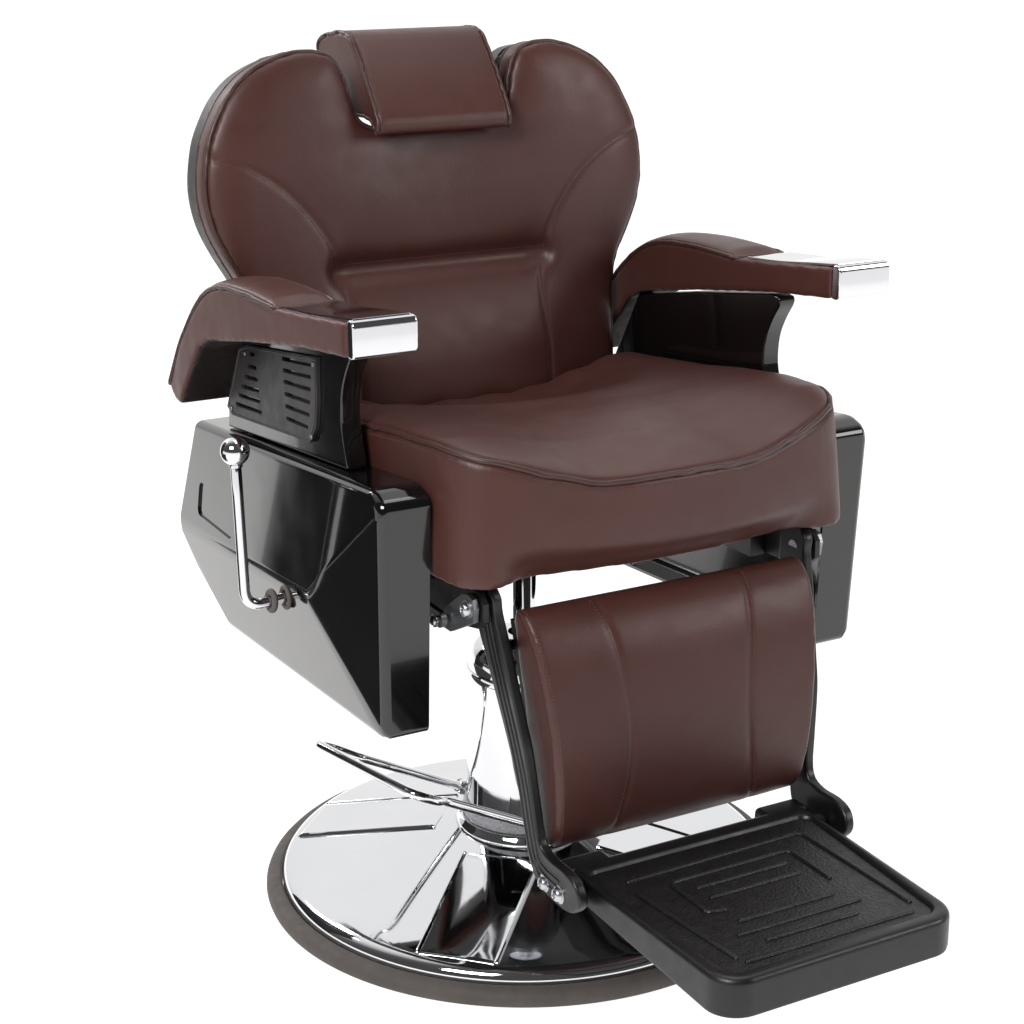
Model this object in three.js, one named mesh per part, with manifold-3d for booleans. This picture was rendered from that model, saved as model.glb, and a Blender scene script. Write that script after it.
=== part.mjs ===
// Hydraulic barber chair. Units are millimetres, +Z up. The chair faces -Y, the pump
// axis is x = y = 0 and the floor is z = 0. The sitter's right is -X, the lever side.
import * as THREE from "three";
import { ConvexGeometry } from "three/addons/geometries/ConvexGeometry.js";
import { mergeVertices } from "three/addons/utils/BufferGeometryUtils.js";
import Module from "manifold-3d";

const wasm = await Module();
wasm.setup();

// ---- driving dimensions ----
const GAP = 0.3; // between pieces that touch
const ROUND = 40; // sides of the large round pieces

const BASE_R = 330; // rubber ring, outside
const DOME_R = 309;
const DOME_EDGE_Z = 35; // top of the rolled edge, at EDGE_R
const EDGE_R = 300;
const DOME_SLOPE = 0.205;
const FLOOR_PLATE = { r: 296, thick: 6 };
const SPOKE = { width: 98, inner: 104, outer: 292, ridge: 5 };
const TUBE_R = 73; // pump cover
const TUBE_FOOT_Z = 92.5;
const TUBE_TOP_Z = 288;
const CAP_TOP_Z = 331;
const PISTON_R = 15;
const PISTON_TOP_Z = 452;

const PEDAL = { heading: 192, rise: 29, reach: 36, z: 103, rod: 5.5 };
const PEDAL_LEG = 81; // half the distance between the two legs
const PEDAL_BAR = 98; // half the length of the foot bar
const PEDAL_LENGTH = 245; // from the pivot to the foot bar

const RAIL_X = 200; // centre of the seat rails
const RAIL = { wide: 20, low: 455, high: 487, front: -205, back: 225 };
const PLATE_X = 213.3; // centre of the welded brackets
const CRANK_X = 221.5; // centre of the hinge plates and leg cranks
const LINK_X = 230.5; // centre of the link bars
const RECLINE = { y: 205, z: 500 }; // back pivot
const LEG_PIVOT = { y: -282, z: 489, r: 7.9 };
const LEG_TUBE = { y: -278.5, z: 437, r: 6 }; // joins the two leg rest arms
const CRANK = { y: 50, z: -26 }; // from either pivot to its crank pin
const FOOT_PIVOT = { y: -391, z: 197 };
const ARM_X = 199; // leg rest arms, at the pivot height
const ARM_LEAN = 5.4; // degrees that the arms close inwards going down

const BOX_INNER = 255; // inner face of the side boxes
const PAD_INNER = 260;
const PAD_OUTER = 337;
const LEVER = { y: -30, z: 445, x: -372, rod: 6.2, ball: 16.5, ballZ: 617 };

const BACK_LEAN = 6; // degrees
const BACK_ORIGIN = { y: 229, z: 909 }; // a point of the back's front edge plane
const BACK_LAYERS = { front: -26, rear: 35, board: 43, shell: 78 };
const POST = { r: 5, bore: 5.6, x: 45, depth: 60, foot: -180, length: 204 }; // headrest posts

// ---- geometry helpers ----
const chair = new THREE.Group();

const steel = { color: 0x9a9a9c, roughness: 0.35, metalness: 1 };
const chrome = { color: 0xdcdde0, roughness: 0.08, metalness: 1 };
const zinc = { color: 0xb9bbbd, roughness: 0.3, metalness: 1 };
const blackPaint = { color: 0x17171a, roughness: 0.45, metalness: 0.2 };
const glossBlack = { color: 0x0b0b0d, roughness: 0.12, metalness: 0 };
const satinBlack = { color: 0x1c1c1f, roughness: 0.5, metalness: 0 };
const rubber = { color: 0x3a3533, roughness: 0.75, metalness: 0 };
const leather = { color: 0x4a3434, roughness: 0.5, metalness: 0 };
const wood = { color: 0x2a2522, roughness: 0.7, metalness: 0 };

function add(name, geometry, look, parent = chair) {
  const mesh = new THREE.Mesh(geometry, new THREE.MeshStandardMaterial(look));
  mesh.name = name;
  parent.add(mesh);
  return mesh;
}

function solid(geometry) {
  const bare = geometry.index ? geometry.toNonIndexed() : geometry.clone();
  bare.deleteAttribute("normal");
  bare.deleteAttribute("uv");
  const merged = mergeVertices(bare, 1e-3);
  return new wasm.Manifold(
    new wasm.Mesh({
      numProp: 3,
      vertProperties: new Float32Array(merged.attributes.position.array),
      triVerts: new Uint32Array(merged.index.array),
    }),
  );
}

function geometryOf(made) {
  const mesh = made.getMesh();
  const geometry = new THREE.BufferGeometry();
  const corners = new THREE.BufferAttribute(mesh.vertProperties, mesh.numProp);
  geometry.setAttribute("position", corners);
  geometry.setIndex(new THREE.BufferAttribute(mesh.triVerts, 1));
  return geometry;
}

function join(...geometries) {
  return geometryOf(geometries.map(solid).reduce((all, next) => all.add(next)));
}

function cut(geometry, ...tools) {
  return geometryOf(tools.map(solid).reduce((left, tool) => left.subtract(tool), solid(geometry)));
}

function common(a, b) {
  return geometryOf(solid(a).intersect(solid(b)));
}

// A closed outline through the points, turned anticlockwise so that its holes cut through.
function outline(points, holes = []) {
  const corners = points.map(([u, v]) => new THREE.Vector2(u, v));
  if (THREE.ShapeUtils.isClockWise(corners)) corners.reverse();
  const shape = new THREE.Shape(corners);
  shape.holes.push(...holes);
  return shape;
}

function disc(u, v, r) {
  return new THREE.Shape().absarc(u, v, r, 0, 2 * Math.PI);
}

function roundHole(u, v, r) {
  return new THREE.Path().absarc(u, v, r, 0, 2 * Math.PI, true);
}

// Extrudes an outline along one axis. An x outline is drawn in (y, z), a y outline in
// (x, z) and a z outline in (x, y).
function prism(axis, shape, from, to, curveSegments = 6) {
  const geometry = new THREE.ExtrudeGeometry(shape, {
    depth: to - from,
    bevelEnabled: false,
    curveSegments,
  });
  const turn = new THREE.Matrix4();
  if (axis === "x") turn.set(0, 0, 1, from, 1, 0, 0, 0, 0, 1, 0, 0, 0, 0, 0, 1);
  if (axis === "y") turn.set(1, 0, 0, 0, 0, 0, -1, to, 0, 1, 0, 0, 0, 0, 0, 1);
  if (axis === "z") turn.makeTranslation(0, 0, from);
  return geometry.applyMatrix4(turn);
}

function block(x, y, z) {
  const geometry = new THREE.BoxGeometry(x[1] - x[0], y[1] - y[0], z[1] - z[0]);
  return geometry.translate((x[0] + x[1]) / 2, (y[0] + y[1]) / 2, (z[0] + z[1]) / 2);
}

// A cylinder along X between two x values, about the point (y, z).
function pin(r, from, to, y, z, sides = 16) {
  const geometry = new THREE.CylinderGeometry(r, r, to - from, sides);
  return geometry.rotateZ(Math.PI / 2).translate((from + to) / 2, y, z);
}

// Turns an (r, z) profile, listed anticlockwise, about the Z axis.
function turned(profile, sides = ROUND) {
  const closed = [...profile, profile[0]].map(([r, z]) => new THREE.Vector2(r, z));
  const onAxis = profile[0][0] === 0 && profile[profile.length - 1][0] === 0;
  const points = onAxis ? closed.slice(0, -1) : closed;
  return new THREE.LatheGeometry(points, sides).rotateX(Math.PI / 2);
}

function rod(curve, r, steps, sides = 10) {
  const section = new THREE.Shape().absarc(0, 0, r, 0, 2 * Math.PI);
  return new THREE.ExtrudeGeometry(section, {
    extrudePath: curve,
    steps,
    curveSegments: sides / 2,
    bevelEnabled: false,
  });
}

// A path of straight runs joined by rounded corners of radius r.
function bentPath(points, r) {
  const corners = points.map((p) => new THREE.Vector3(...p));
  const path = new THREE.CurvePath();
  let start = corners[0];
  for (let i = 1; i < corners.length - 1; i += 1) {
    const into = corners[i].clone().add(corners[i - 1].clone().sub(corners[i]).setLength(r));
    const out = corners[i].clone().add(corners[i + 1].clone().sub(corners[i]).setLength(r));
    path.add(new THREE.LineCurve3(start, into));
    path.add(new THREE.QuadraticBezierCurve3(into, corners[i], out));
    start = out;
  }
  path.add(new THREE.LineCurve3(start, corners[corners.length - 1]));
  return path;
}

const radians = THREE.MathUtils.degToRad;
const SIDES = [
  ["left", 1],
  ["right", -1],
];

// Extrudes an x outline between two distances from the middle, on the given side.
function sidePrism(side, shape, near, far, curveSegments = 6) {
  return side > 0
    ? prism("x", shape, near, far, curveSegments)
    : prism("x", shape, -far, -near, curveSegments);
}

// ---- base and pump ----
function domeZ(r) {
  return DOME_EDGE_Z + (EDGE_R - r) * DOME_SLOPE;
}

function baseDome() {
  const wall = 3;
  const hole = 62;
  const shell = turned([
    [DOME_R - wall, 8],
    [DOME_R, 8],
    [DOME_R, 24],
    [DOME_R - 3, 31],
    [EDGE_R, DOME_EDGE_Z],
    [hole, domeZ(hole)],
    [hole, domeZ(hole) - wall],
    [EDGE_R - 3, DOME_EDGE_Z - wall],
    [DOME_R - wall - 2, 24],
  ]);
  const pieces = [shell];
  const length = SPOKE.outer - SPOKE.inner;
  const middle = (SPOKE.outer + SPOKE.inner) / 2;
  for (const angle of [45, 135, 225, 315]) {
    const bars = [[0, SPOKE.width, 5, 0]];
    bars.push([SPOKE.width / 2, SPOKE.ridge, 7.5, 0.5], [-SPOKE.width / 2, SPOKE.ridge, 7.5, 0.5]);
    for (const [offset, width, height, lift] of bars) {
      const bar = new THREE.BoxGeometry(length, width, height);
      bar.rotateY(Math.atan(DOME_SLOPE)).translate(middle, offset, domeZ(middle) - 1 + lift);
      pieces.push(bar.rotateZ(radians(angle)));
    }
  }
  return join(...pieces);
}

function pumpCover() {
  const tube = turned([
    [69, TUBE_FOOT_Z],
    [TUBE_R, TUBE_FOOT_Z],
    [TUBE_R, 125],
    [TUBE_R - 2, TUBE_TOP_Z],
    [68, TUBE_TOP_Z],
  ]);
  return tube;
}

function makeBase() {
  const { r, thick } = FLOOR_PLATE;
  const plate = turned([[0, 0], [r, 0], [r, thick], [0, thick]]);
  add("floor_plate", plate, blackPaint);
  const ring = turned([
    [DOME_R + 1, 0], [BASE_R - 2, 0], [BASE_R, 6], [BASE_R - 3, 17], [DOME_R + 7, 21], [DOME_R + 1, 19],
  ]);
  add("base_rubber_ring", ring, rubber);
  add("base_dome", baseDome(), chrome);
  const collar = turned([
    [63, domeZ(63) + GAP], [88, domeZ(88) + GAP], [87, 88], [81, TUBE_FOOT_Z - GAP], [63, TUBE_FOOT_Z - GAP],
  ]);
  add("base_collar", collar, chrome);
  add("pump_cover", pumpCover(), chrome);
  const cap = turned([
    [20, 325], [20, CAP_TOP_Z], [40, CAP_TOP_Z - 2], [62, 319], [68.5, 302], [70, TUBE_TOP_Z + GAP],
    [66, TUBE_TOP_Z + GAP], [64, 301], [58, 315], [40, 325],
  ].reverse());
  add("pump_cap", cap, chrome);
  const cylinder = turned([
    [0, FLOOR_PLATE.thick + GAP], [58, FLOOR_PLATE.thick + GAP], [58, 17], [32, 17], [32, 300],
    [16.5, 300], [16.5, 30], [0, 30],
  ], 32);
  add("pump_cylinder", cylinder, steel);
  const gland = turned([[PISTON_R + 0.3, 300.3], [31, 300.3], [31, 318], [PISTON_R + 0.3, 322]], 32);
  add("pump_gland", gland, zinc);
}

// The pedal is drawn flat, pointing along +X from its pivot, then raised and turned.
function pedalPlacement() {
  const group = new THREE.Group();
  const heading = radians(PEDAL.heading);
  group.position.set(Math.cos(heading) * PEDAL.reach, Math.sin(heading) * PEDAL.reach, PEDAL.z);
  group.rotation.set(0, -radians(PEDAL.rise), heading, "ZYX");
  chair.add(group);
  return group;
}

function makePedal() {
  const group = pedalPlacement();
  const flare = PEDAL_LENGTH - 60;
  const path = bentPath([
    [9, PEDAL_LEG, 0],
    [flare, PEDAL_LEG, 0],
    [flare + 22, PEDAL_BAR, 0],
    [PEDAL_LENGTH, PEDAL_BAR, 0],
    [PEDAL_LENGTH, -PEDAL_BAR, 0],
    [flare + 22, -PEDAL_BAR, 0],
    [flare, -PEDAL_LEG, 0],
    [9, -PEDAL_LEG, 0],
  ], 12);
  const eyes = [1, -1].map((side) => {
    const ring = new THREE.Shape().absarc(0, 0, 9.5, 0, 2 * Math.PI);
    ring.holes.push(roundHole(0, 0, 4.6));
    return prism("y", ring, side * PEDAL_LEG - 4.5, side * PEDAL_LEG + 4.5);
  });
  const bores = [1, -1].map((side) => {
    const bore = new THREE.CylinderGeometry(4.6, 4.6, 30, 12);
    return bore.translate(0, side * PEDAL_LEG, 0);
  });
  add("pedal_loop", cut(join(rod(path, PEDAL.rod, 44), ...eyes), ...bores), chrome, group);
  for (const [name, side] of [["rear", -1], ["front", 1]]) {
    const shaft = new THREE.CylinderGeometry(4.2, 4.2, 20, 12).translate(0, side * 79.5, 0);
    const head = new THREE.CylinderGeometry(8, 8, 3, 6).translate(0, side * 88, 0);
    const stem = cut(join(shaft, head), tubeTool(group));
    add("pedal_pin_" + name, stem, zinc, group);
  }
}

// The pump cover's cylinder with its gap, seen from the pedal's own frame.
function tubeTool(group) {
  group.updateMatrixWorld(true);
  const tool = new THREE.CylinderGeometry(TUBE_R + GAP, TUBE_R + GAP, 400, ROUND);
  return tool.rotateX(Math.PI / 2).applyMatrix4(group.matrixWorld.clone().invert());
}

function makeLift() {
  const piston = turned([[0, 190], [PISTON_R, 190], [PISTON_R, PISTON_TOP_Z], [0, PISTON_TOP_Z]], 24);
  add("piston_rod", piston, chrome);
  const race = turned([[PISTON_R + GAP, 434], [31, 434], [31, 441.7], [PISTON_R + GAP, 441.7]], 32);
  add("swivel_race", race, zinc);
}

// ---- seat frame ----
function makeSeatFrame() {
  const hub = turned([
    [0, 452.3], [PISTON_R + GAP, 452.3], [PISTON_R + GAP, 442], [34, 442], [36, 446], [60, 452.7], [0, 452.7],
  ], 32);
  add("swivel_hub", hub, blackPaint);
  const board = outline([[-110, -125], [110, -125], [110, 125], [-110, 125]]);
  add("seat_mount_plate", prism("z", board, 453, 461), blackPaint);
  const low = 461 + GAP;
  const reach = RAIL_X - RAIL.wide / 2 - GAP;
  add("front_crossbar", block([-reach, reach], [-122, -92], [low, RAIL.high]), blackPaint);
  add("rear_crossbar", block([-reach, reach], [92, 122], [low, RAIL.high]), blackPaint);
  for (const [name, side] of SIDES) {
    const end = RAIL.back - 20;
    const beam = outline([[RAIL.front, RAIL.low], [end, RAIL.low], [end, RAIL.high], [RAIL.front, RAIL.high]]);
    const rail = sidePrism(side, beam, RAIL_X - 10, RAIL_X + 10);
    const front = outline([
      [-150, 458], [-150, 485], [-266, 508], [-292, 508], [-302, 498], [-302, 478], [-290, 468], [-240, 458],
    ], [roundHole(LEG_PIVOT.y, LEG_PIVOT.z, 8.5)]);
    const rear = outline([
      [140, 458], [222, 458], [224, 500], [215, 519], [195, 519], [140, 485],
    ], [roundHole(RECLINE.y, RECLINE.z, 6.5)]);
    const near = PLATE_X - 3.4;
    const plates = [front, rear].map((shape) => sidePrism(side, shape, near, PLATE_X + 3));
    add("seat_rail_" + name, join(rail, ...plates), blackPaint);
    const shank = pin(6, ...(side > 0 ? [207, 229] : [-229, -207]), RECLINE.y, RECLINE.z);
    const head = pin(10, ...(side > 0 ? [225, 231] : [-231, -225]), RECLINE.y, RECLINE.z, 6);
    add("recline_bolt_" + name, join(shank, head), zinc);
  }
  const seatBoard = outline([[-215, -235], [215, -235], [215, 135], [-215, 135]]);
  const boardSolid = prism("z", seatBoard, 0, 12);
  boardSolid.rotateX(radians(-2.2)).translate(0, 0, 493);
  add("seat_board", boardSolid, wood);
}

function makeSeatCushion() {
  const profile = outline([
    [150, 512], [156, 530], [156, 606], [145, 620], [90, 628], [-30, 638], [-180, 656], [-245, 664],
    [-300, 655], [-338, 634], [-348, 610], [-344, 570], [-332, 540], [-312, 524], [-290, 521],
  ]);
  const plan = outline([
    [-248, 160], [-254, 0], [-254, -190], [-246, -262], [-222, -312], [-180, -338], [-120, -350], [0, -352],
    [120, -350], [180, -338], [222, -312], [246, -262], [254, -190], [254, 0], [248, 160],
  ]);
  const body = common(prism("x", profile, -270, 270), prism("z", plan, 500, 680));
  add("seat_cushion", body, leather);
}

// ---- side boxes and armrests ----
function boxPoints(inset, inner) {
  const corners = [
    [302, 311, 570], [311, -235, 619], [313, -262, 608], [308, -248, 343], [303, 207, 321],
    [310, 309, 380], [318, 351, 429], [326, -94, 461],
  ];
  const centre = [290, 20, 460];
  const points = [];
  for (const [x, y, z] of corners) {
    const v = new THREE.Vector3(x, y, z);
    const towards = new THREE.Vector3(0, centre[1] - y, centre[2] - z);
    towards.setLength(Math.min(inset * 1.25, towards.length()));
    v.add(towards).setX(x - inset);
    points.push(v);
    if (v.y !== -94) points.push(new THREE.Vector3(inner, v.y, v.z));
  }
  return points;
}

function sideBox(side) {
  const outer = new ConvexGeometry(boxPoints(0, BOX_INNER));
  const hollow = new ConvexGeometry(boxPoints(4, BOX_INNER - 5));
  const tools = [hollow];
  if (side < 0) tools.push(pin(11, 300, 340, LEVER.y + 2, LEVER.z - 4));
  const shell = cut(outer, ...tools);
  if (side > 0) return shell;
  return geometryOf(solid(shell).mirror([1, 0, 0]));
}

function boxTop(y) {
  return 570 + (311 - y) * 0.0897;
}

function makeArmrests() {
  for (const [name, side] of SIDES) {
    add("side_box_" + name, sideBox(side), glossBlack);
    const support = outline([
      [-130, boxTop(-130) + 1], [232, boxTop(232) + 1], [222, 605], [163, 699], [28, 724], [-130, 747.5],
      [-146, 745], [-146, 735], [-122, 705], [-116, 674], [-122, 645],
    ]);
    add("armrest_support_" + name, sidePrism(side, support, 264, 288), satinBlack);
    const slots = [];
    for (let column = 0; column < 2; column += 1) {
      for (let row = 0; row < 5; row += 1) {
        const y = -38 + column * 104;
        const z = 627 + row * 16 - column * 10;
        slots.push(outline([[y, z], [y + 82, z - 8], [y + 82, z - 2], [y, z + 6]]));
      }
    }
    const vent = outline([[-58, 616], [226, 592], [160, 688], [-66, 722]], slots);
    add("vent_panel_" + name, sidePrism(side, vent, 288 + GAP, 293), satinBlack);
    const pad = outline([
      [-244, 797], [-244, 760], [-130, 749], [28, 726], [160, 702], [182, 690], [262, 604], [275, 604],
      [302, 613], [310, 624], [180, 748], [150, 766], [110, 776], [21, 781], [-123, 782],
    ]);
    add("armrest_pad_" + name, sidePrism(side, pad, PAD_INNER, PAD_OUTER), leather);
    const cap = outline([[-244.4, 798], [-252, 799], [-259, 792], [-259, 770], [-252, 761], [-244.4, 760]]);
    add("armrest_cap_" + name, sidePrism(side, cap, PAD_INNER, PAD_OUTER), chrome);
  }
}

function makeLever() {
  const path = bentPath([
    [-285, LEVER.y, LEVER.z],
    [LEVER.x, LEVER.y + 4, LEVER.z - 8],
    [LEVER.x, LEVER.y + 13, LEVER.ballZ - LEVER.ball + 1],
  ], 20);
  add("lever_rod", rod(path, LEVER.rod, 26), chrome);
  const ball = new THREE.SphereGeometry(LEVER.ball, 20, 12);
  ball.translate(LEVER.x, LEVER.y + 13, LEVER.ballZ);
  add("lever_ball", cut(ball, rod(path, LEVER.rod + GAP, 26)), chrome);
  const ring = new THREE.Shape().absarc(0, 0, 14, 0, 2 * Math.PI);
  ring.holes.push(roundHole(0, 0, LEVER.rod + GAP));
  const collar = prism("x", ring, -345, -338).translate(0, LEVER.y + 2.4, LEVER.z - 4.9);
  add("lever_ring", cut(collar, rod(path, LEVER.rod + GAP, 26)), rubber);
}

// ---- back ----
function backOutline(inset) {
  const half = [
    [235, 545], [246, 556], [249, 640], [250, 700], [258, 748], [284, 790], [300, 830], [304, 868],
    [297, 914], [270, 970], [238, 1005], [187, 1022], [143, 1025], [121, 1012], [113, 985], [106, 955],
    [98, 937], [84, 929],
  ];
  const mirrored = half.map(([x, z]) => [-x, z]).reverse();
  const centre = 770;
  return outline([...half, ...mirrored].map(([x, z]) => {
    const dx = Math.sign(x) * inset;
    const dz = z < centre ? inset : -inset;
    return [Math.abs(x) > 200 ? x - dx : x, z - BACK_ORIGIN.z + dz];
  }));
}

// The back's own frame: x across, y into its thickness, z up its face.
function backFrame() {
  const group = new THREE.Group();
  group.position.set(0, BACK_ORIGIN.y, BACK_ORIGIN.z);
  group.rotation.x = -radians(BACK_LEAN);
  chair.add(group);
  return group;
}

function makeBack() {
  const group = backFrame();
  const { front, rear, board, shell } = BACK_LAYERS;
  add("back_cushion", prism("y", backOutline(0), front, rear), leather, group);
  add("back_board", prism("y", backOutline(6), rear + GAP, board), wood, group);
  const tray = cut(
    prism("y", backOutline(4), board + GAP, shell),
    prism("y", backOutline(8), board - 5, shell - 4),
    ...[POST.x, -POST.x].map((x) => prism("z", disc(x, POST.depth, POST.bore), -20, 40)),
  );
  add("back_shell", tray, satinBlack, group);
  for (const [name, side] of SIDES) {
    const sleeve = disc(side * POST.x, POST.depth, 8.5);
    sleeve.holes.push(roundHole(side * POST.x, POST.depth, POST.bore));
    add("headrest_sleeve_" + name, prism("z", sleeve, -190, -40), zinc, group);
  }
  const bar = block([-218, 218], [222, 250], [514, 540]);
  add("back_crossbar", bar, blackPaint);
  for (const [name, side] of SIDES) {
    const plate = outline([
      [RECLINE.y - 20, 497], [RECLINE.y - 10, 480], [243, 464], [255, 461], [267, 468], [268, 479],
      [256, 541], [200, 541], [RECLINE.y - 20, 515],
    ], [roundHole(RECLINE.y, RECLINE.z, 6.5), roundHole(RECLINE.y + CRANK.y, RECLINE.z + CRANK.z, 4.5)]);
    add("back_hinge_plate_" + name, sidePrism(side, plate, CRANK_X - 3, CRANK_X + 3), steel);
  }
}

function makeLinks() {
  for (const [name, side] of SIDES) {
    const a = { y: LEG_PIVOT.y + CRANK.y, z: LEG_PIVOT.z + CRANK.z };
    const b = { y: RECLINE.y + CRANK.y, z: RECLINE.z + CRANK.z };
    const bar = new THREE.Shape();
    bar.absarc(a.y, a.z, 9, Math.PI / 2, (3 * Math.PI) / 2);
    bar.absarc(b.y, b.z, 9, -Math.PI / 2, Math.PI / 2);
    bar.holes.push(roundHole(a.y, a.z, 4.9));
    const flat = sidePrism(side, bar, LINK_X - 3, LINK_X + 3);
    const rivet = pin(4.1, ...(side > 0 ? [219, 238] : [-238, -219]), b.y, b.z, 12);
    add("link_rod_" + name, join(flat, rivet), steel);
  }
}

function makeHeadrest() {
  const profile = outline([
    [211, 953], [213, 942], [222, 936], [300, 937], [322, 949], [352, 985], [368, 1012], [366, 1026],
    [345, 1038], [300, 1044], [268, 1041], [250, 1026], [232, 992],
  ]);
  add("headrest_pad", prism("x", profile, -93, 93), leather);
  const group = backFrame();
  for (const [name, side] of SIDES) {
    const post = new THREE.CylinderGeometry(POST.r, POST.r, POST.length, 12).rotateX(Math.PI / 2);
    post.translate(side * POST.x, POST.depth, POST.foot + POST.length / 2);
    add("headrest_post_" + name, post, chrome, group);
  }
}

// ---- leg rest and footplate ----
function leaned(geometry, side) {
  geometry.translate(-side * ARM_X, 0, -LEG_PIVOT.z);
  geometry.rotateY(radians(side * ARM_LEAN));
  return geometry.translate(side * ARM_X, 0, LEG_PIVOT.z);
}

function armX(z) {
  return ARM_X - (LEG_PIVOT.z - z) * Math.tan(radians(ARM_LEAN));
}

function makeLegrest() {
  const { y, z } = LEG_PIVOT;
  const slant = (z - FOOT_PIVOT.z) / Math.cos(radians(ARM_LEAN));
  const arm = outline([
    [-257, 480], [-257, 500], [-269, 513], [-288, 516], [-303, 503], [-304, 486], [-324, 413], [-343, 339],
    [-348, 285], [-352, 250], [-359, 237], [-376, 231], [-404, 230], [-423, 225], [-432, 212], [-431, 199],
    [-414, 184], [-390, 179], [-355, 182], [-337, 193], [-325, 214], [-322, 250], [-318, 285], [-308, 328],
    [-289, 383], [-270, 434], [-256, 461],
  ], [roundHole(y, z, 9), roundHole(FOOT_PIVOT.y, z - slant, 6)]);
  for (const [name, side] of SIDES) {
    const plate = sidePrism(side, arm, ARM_X - 6, ARM_X + 6);
    add("legrest_arm_" + name, leaned(plate, side), satinBlack);
    const crank = outline([
      [y - 15, z + 4], [y - 12, z - 12], [y + 40, z - 38], [y + 56, z - 38], [y + 62, z - 24],
      [y + 50, z - 13],
      [y + 14, z + 12], [y, z + 16], [y - 11, z + 13],
    ]);
    const near = CRANK_X - 3;
    const reach = side > 0 ? [near + 2, 238] : [-238, -near - 2];
    const stud = pin(4.1, ...reach, y + CRANK.y, z + CRANK.z, 12);
    const pivot = pin(LEG_PIVOT.r, ...(side > 0 ? [193, near + 3] : [-near - 3, -193]), y, z, 20);
    add("legrest_crank_" + name, join(sidePrism(side, crank, near, near + 6), stud, pivot), steel);
    const x = armX(FOOT_PIVOT.z);
    const shank = pin(4.4, ...(side > 0 ? [158, x + 9] : [-x - 9, -158]), FOOT_PIVOT.y, FOOT_PIVOT.z, 12);
    const head = pin(8, ...(side > 0 ? [x + 8, x + 13] : [-x - 13, -x - 8]), FOOT_PIVOT.y, FOOT_PIVOT.z, 6);
    add("footplate_bolt_" + name, join(shank, head), zinc);
  }
  const half = armX(LEG_TUBE.z) - 7.5;
  add("legrest_tube", pin(LEG_TUBE.r, -half, half, LEG_TUBE.y, LEG_TUBE.z, 20), blackPaint);
  makeCalfPad();
}

function makeCalfPad() {
  const rake = 4.7; // degrees
  const panel = prism("y", outline([[-174, -8], [-150, -238], [150, -238], [174, -8]]), 0, 10);
  panel.rotateX(-radians(rake)).translate(0, -291.6, 478);
  add("calf_board", panel, wood);
  const side = outline([
    [-292, 478], [-296, 486], [-308, 490], [-322, 486], [-338, 470], [-352, 440], [-363, 400], [-370, 350],
    [-370, 300], [-364, 255], [-354, 232], [-338, 222], [-322, 224], [-312, 234],
  ]);
  const face = outline([
    [-176, 495], [-182, 482], [-180, 450], [-162, 240], [-152, 215], [152, 215], [162, 240], [180, 450],
    [182, 482], [176, 495],
  ]);
  add("calf_pad", common(prism("x", side, -200, 200), prism("y", face, -400, -250)), leather);
}

const PLATE = { rear: -366, front: -650, half: 154, frontHalf: 145, corner: 34 };
const LIP = 9; // wall of the footplate's skirt

// Half widths of the footplate at the rear and front, and its rounded front corners.
function platePlan(inset) {
  const { rear, front, half, frontHalf, corner } = PLATE;
  const nearHalf = half - inset;
  const farHalf = frontHalf - inset;
  const bow = front + inset;
  const turn = corner - inset;
  const plan = new THREE.Shape();
  plan.moveTo(-nearHalf, rear - inset);
  plan.lineTo(-farHalf, bow + turn);
  plan.quadraticCurveTo(-farHalf, bow, -farHalf + turn, bow);
  plan.lineTo(farHalf - turn, bow);
  plan.quadraticCurveTo(farHalf, bow, farHalf, bow + turn);
  plan.lineTo(nearHalf, rear - inset);
  plan.closePath();
  return plan;
}

function makeFootplate() {
  const side = outline([[-362, 213], [-655, 211], [-655, 168], [-610, 166], [-362, 184]]);
  const under = outline([[-372, 205], [-655, 203], [-655, 140], [-372, 140]]);
  const body = common(prism("z", platePlan(0), 140, 220, 5), prism("x", side, -170, 170));
  const hollow = common(prism("z", platePlan(LIP), 130, 220, 5), prism("x", under, -170, 170));
  const spans = [[148, 163], [-163, -148]];
  const bosses = spans.map((span) => pin(13, ...span, FOOT_PIVOT.y, FOOT_PIVOT.z, 20));
  const bores = spans.map(([from, to]) => pin(4.8, from - 4, to + 4, FOOT_PIVOT.y, FOOT_PIVOT.z, 12));
  add("footplate", cut(join(cut(body, hollow), ...bosses), ...bores), satinBlack);
}

makeBase();
makePedal();
makeLift();
makeSeatFrame();
makeSeatCushion();
makeArmrests();
makeLever();
makeBack();
makeLinks();
makeHeadrest();
makeLegrest();
makeFootplate();

export default chair;
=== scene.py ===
"""Hydraulic barber chair: its looks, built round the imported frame.

Metres, +Z up, the chair faces -Y, the pump's axis is x = y = 0.
"""

import math

import bmesh
import bpy
import numpy as np
from mathutils import Matrix, Vector
from mathutils.bvhtree import BVHTree


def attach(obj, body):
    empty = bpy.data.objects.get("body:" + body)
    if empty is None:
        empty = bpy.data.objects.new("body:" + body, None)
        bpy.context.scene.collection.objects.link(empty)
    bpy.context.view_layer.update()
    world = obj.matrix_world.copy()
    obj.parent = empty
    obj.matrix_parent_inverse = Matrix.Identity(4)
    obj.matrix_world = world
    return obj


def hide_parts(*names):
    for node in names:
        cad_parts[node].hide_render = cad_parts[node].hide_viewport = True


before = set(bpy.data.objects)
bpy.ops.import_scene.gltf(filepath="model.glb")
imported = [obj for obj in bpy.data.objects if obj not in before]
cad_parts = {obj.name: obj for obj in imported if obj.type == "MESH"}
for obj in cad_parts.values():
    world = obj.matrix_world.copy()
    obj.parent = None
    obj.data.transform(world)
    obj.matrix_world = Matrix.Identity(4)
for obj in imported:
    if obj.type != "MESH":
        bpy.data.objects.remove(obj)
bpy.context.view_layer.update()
scene = bpy.context.scene
SIDES = (("left", 1), ("right", -1))


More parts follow.
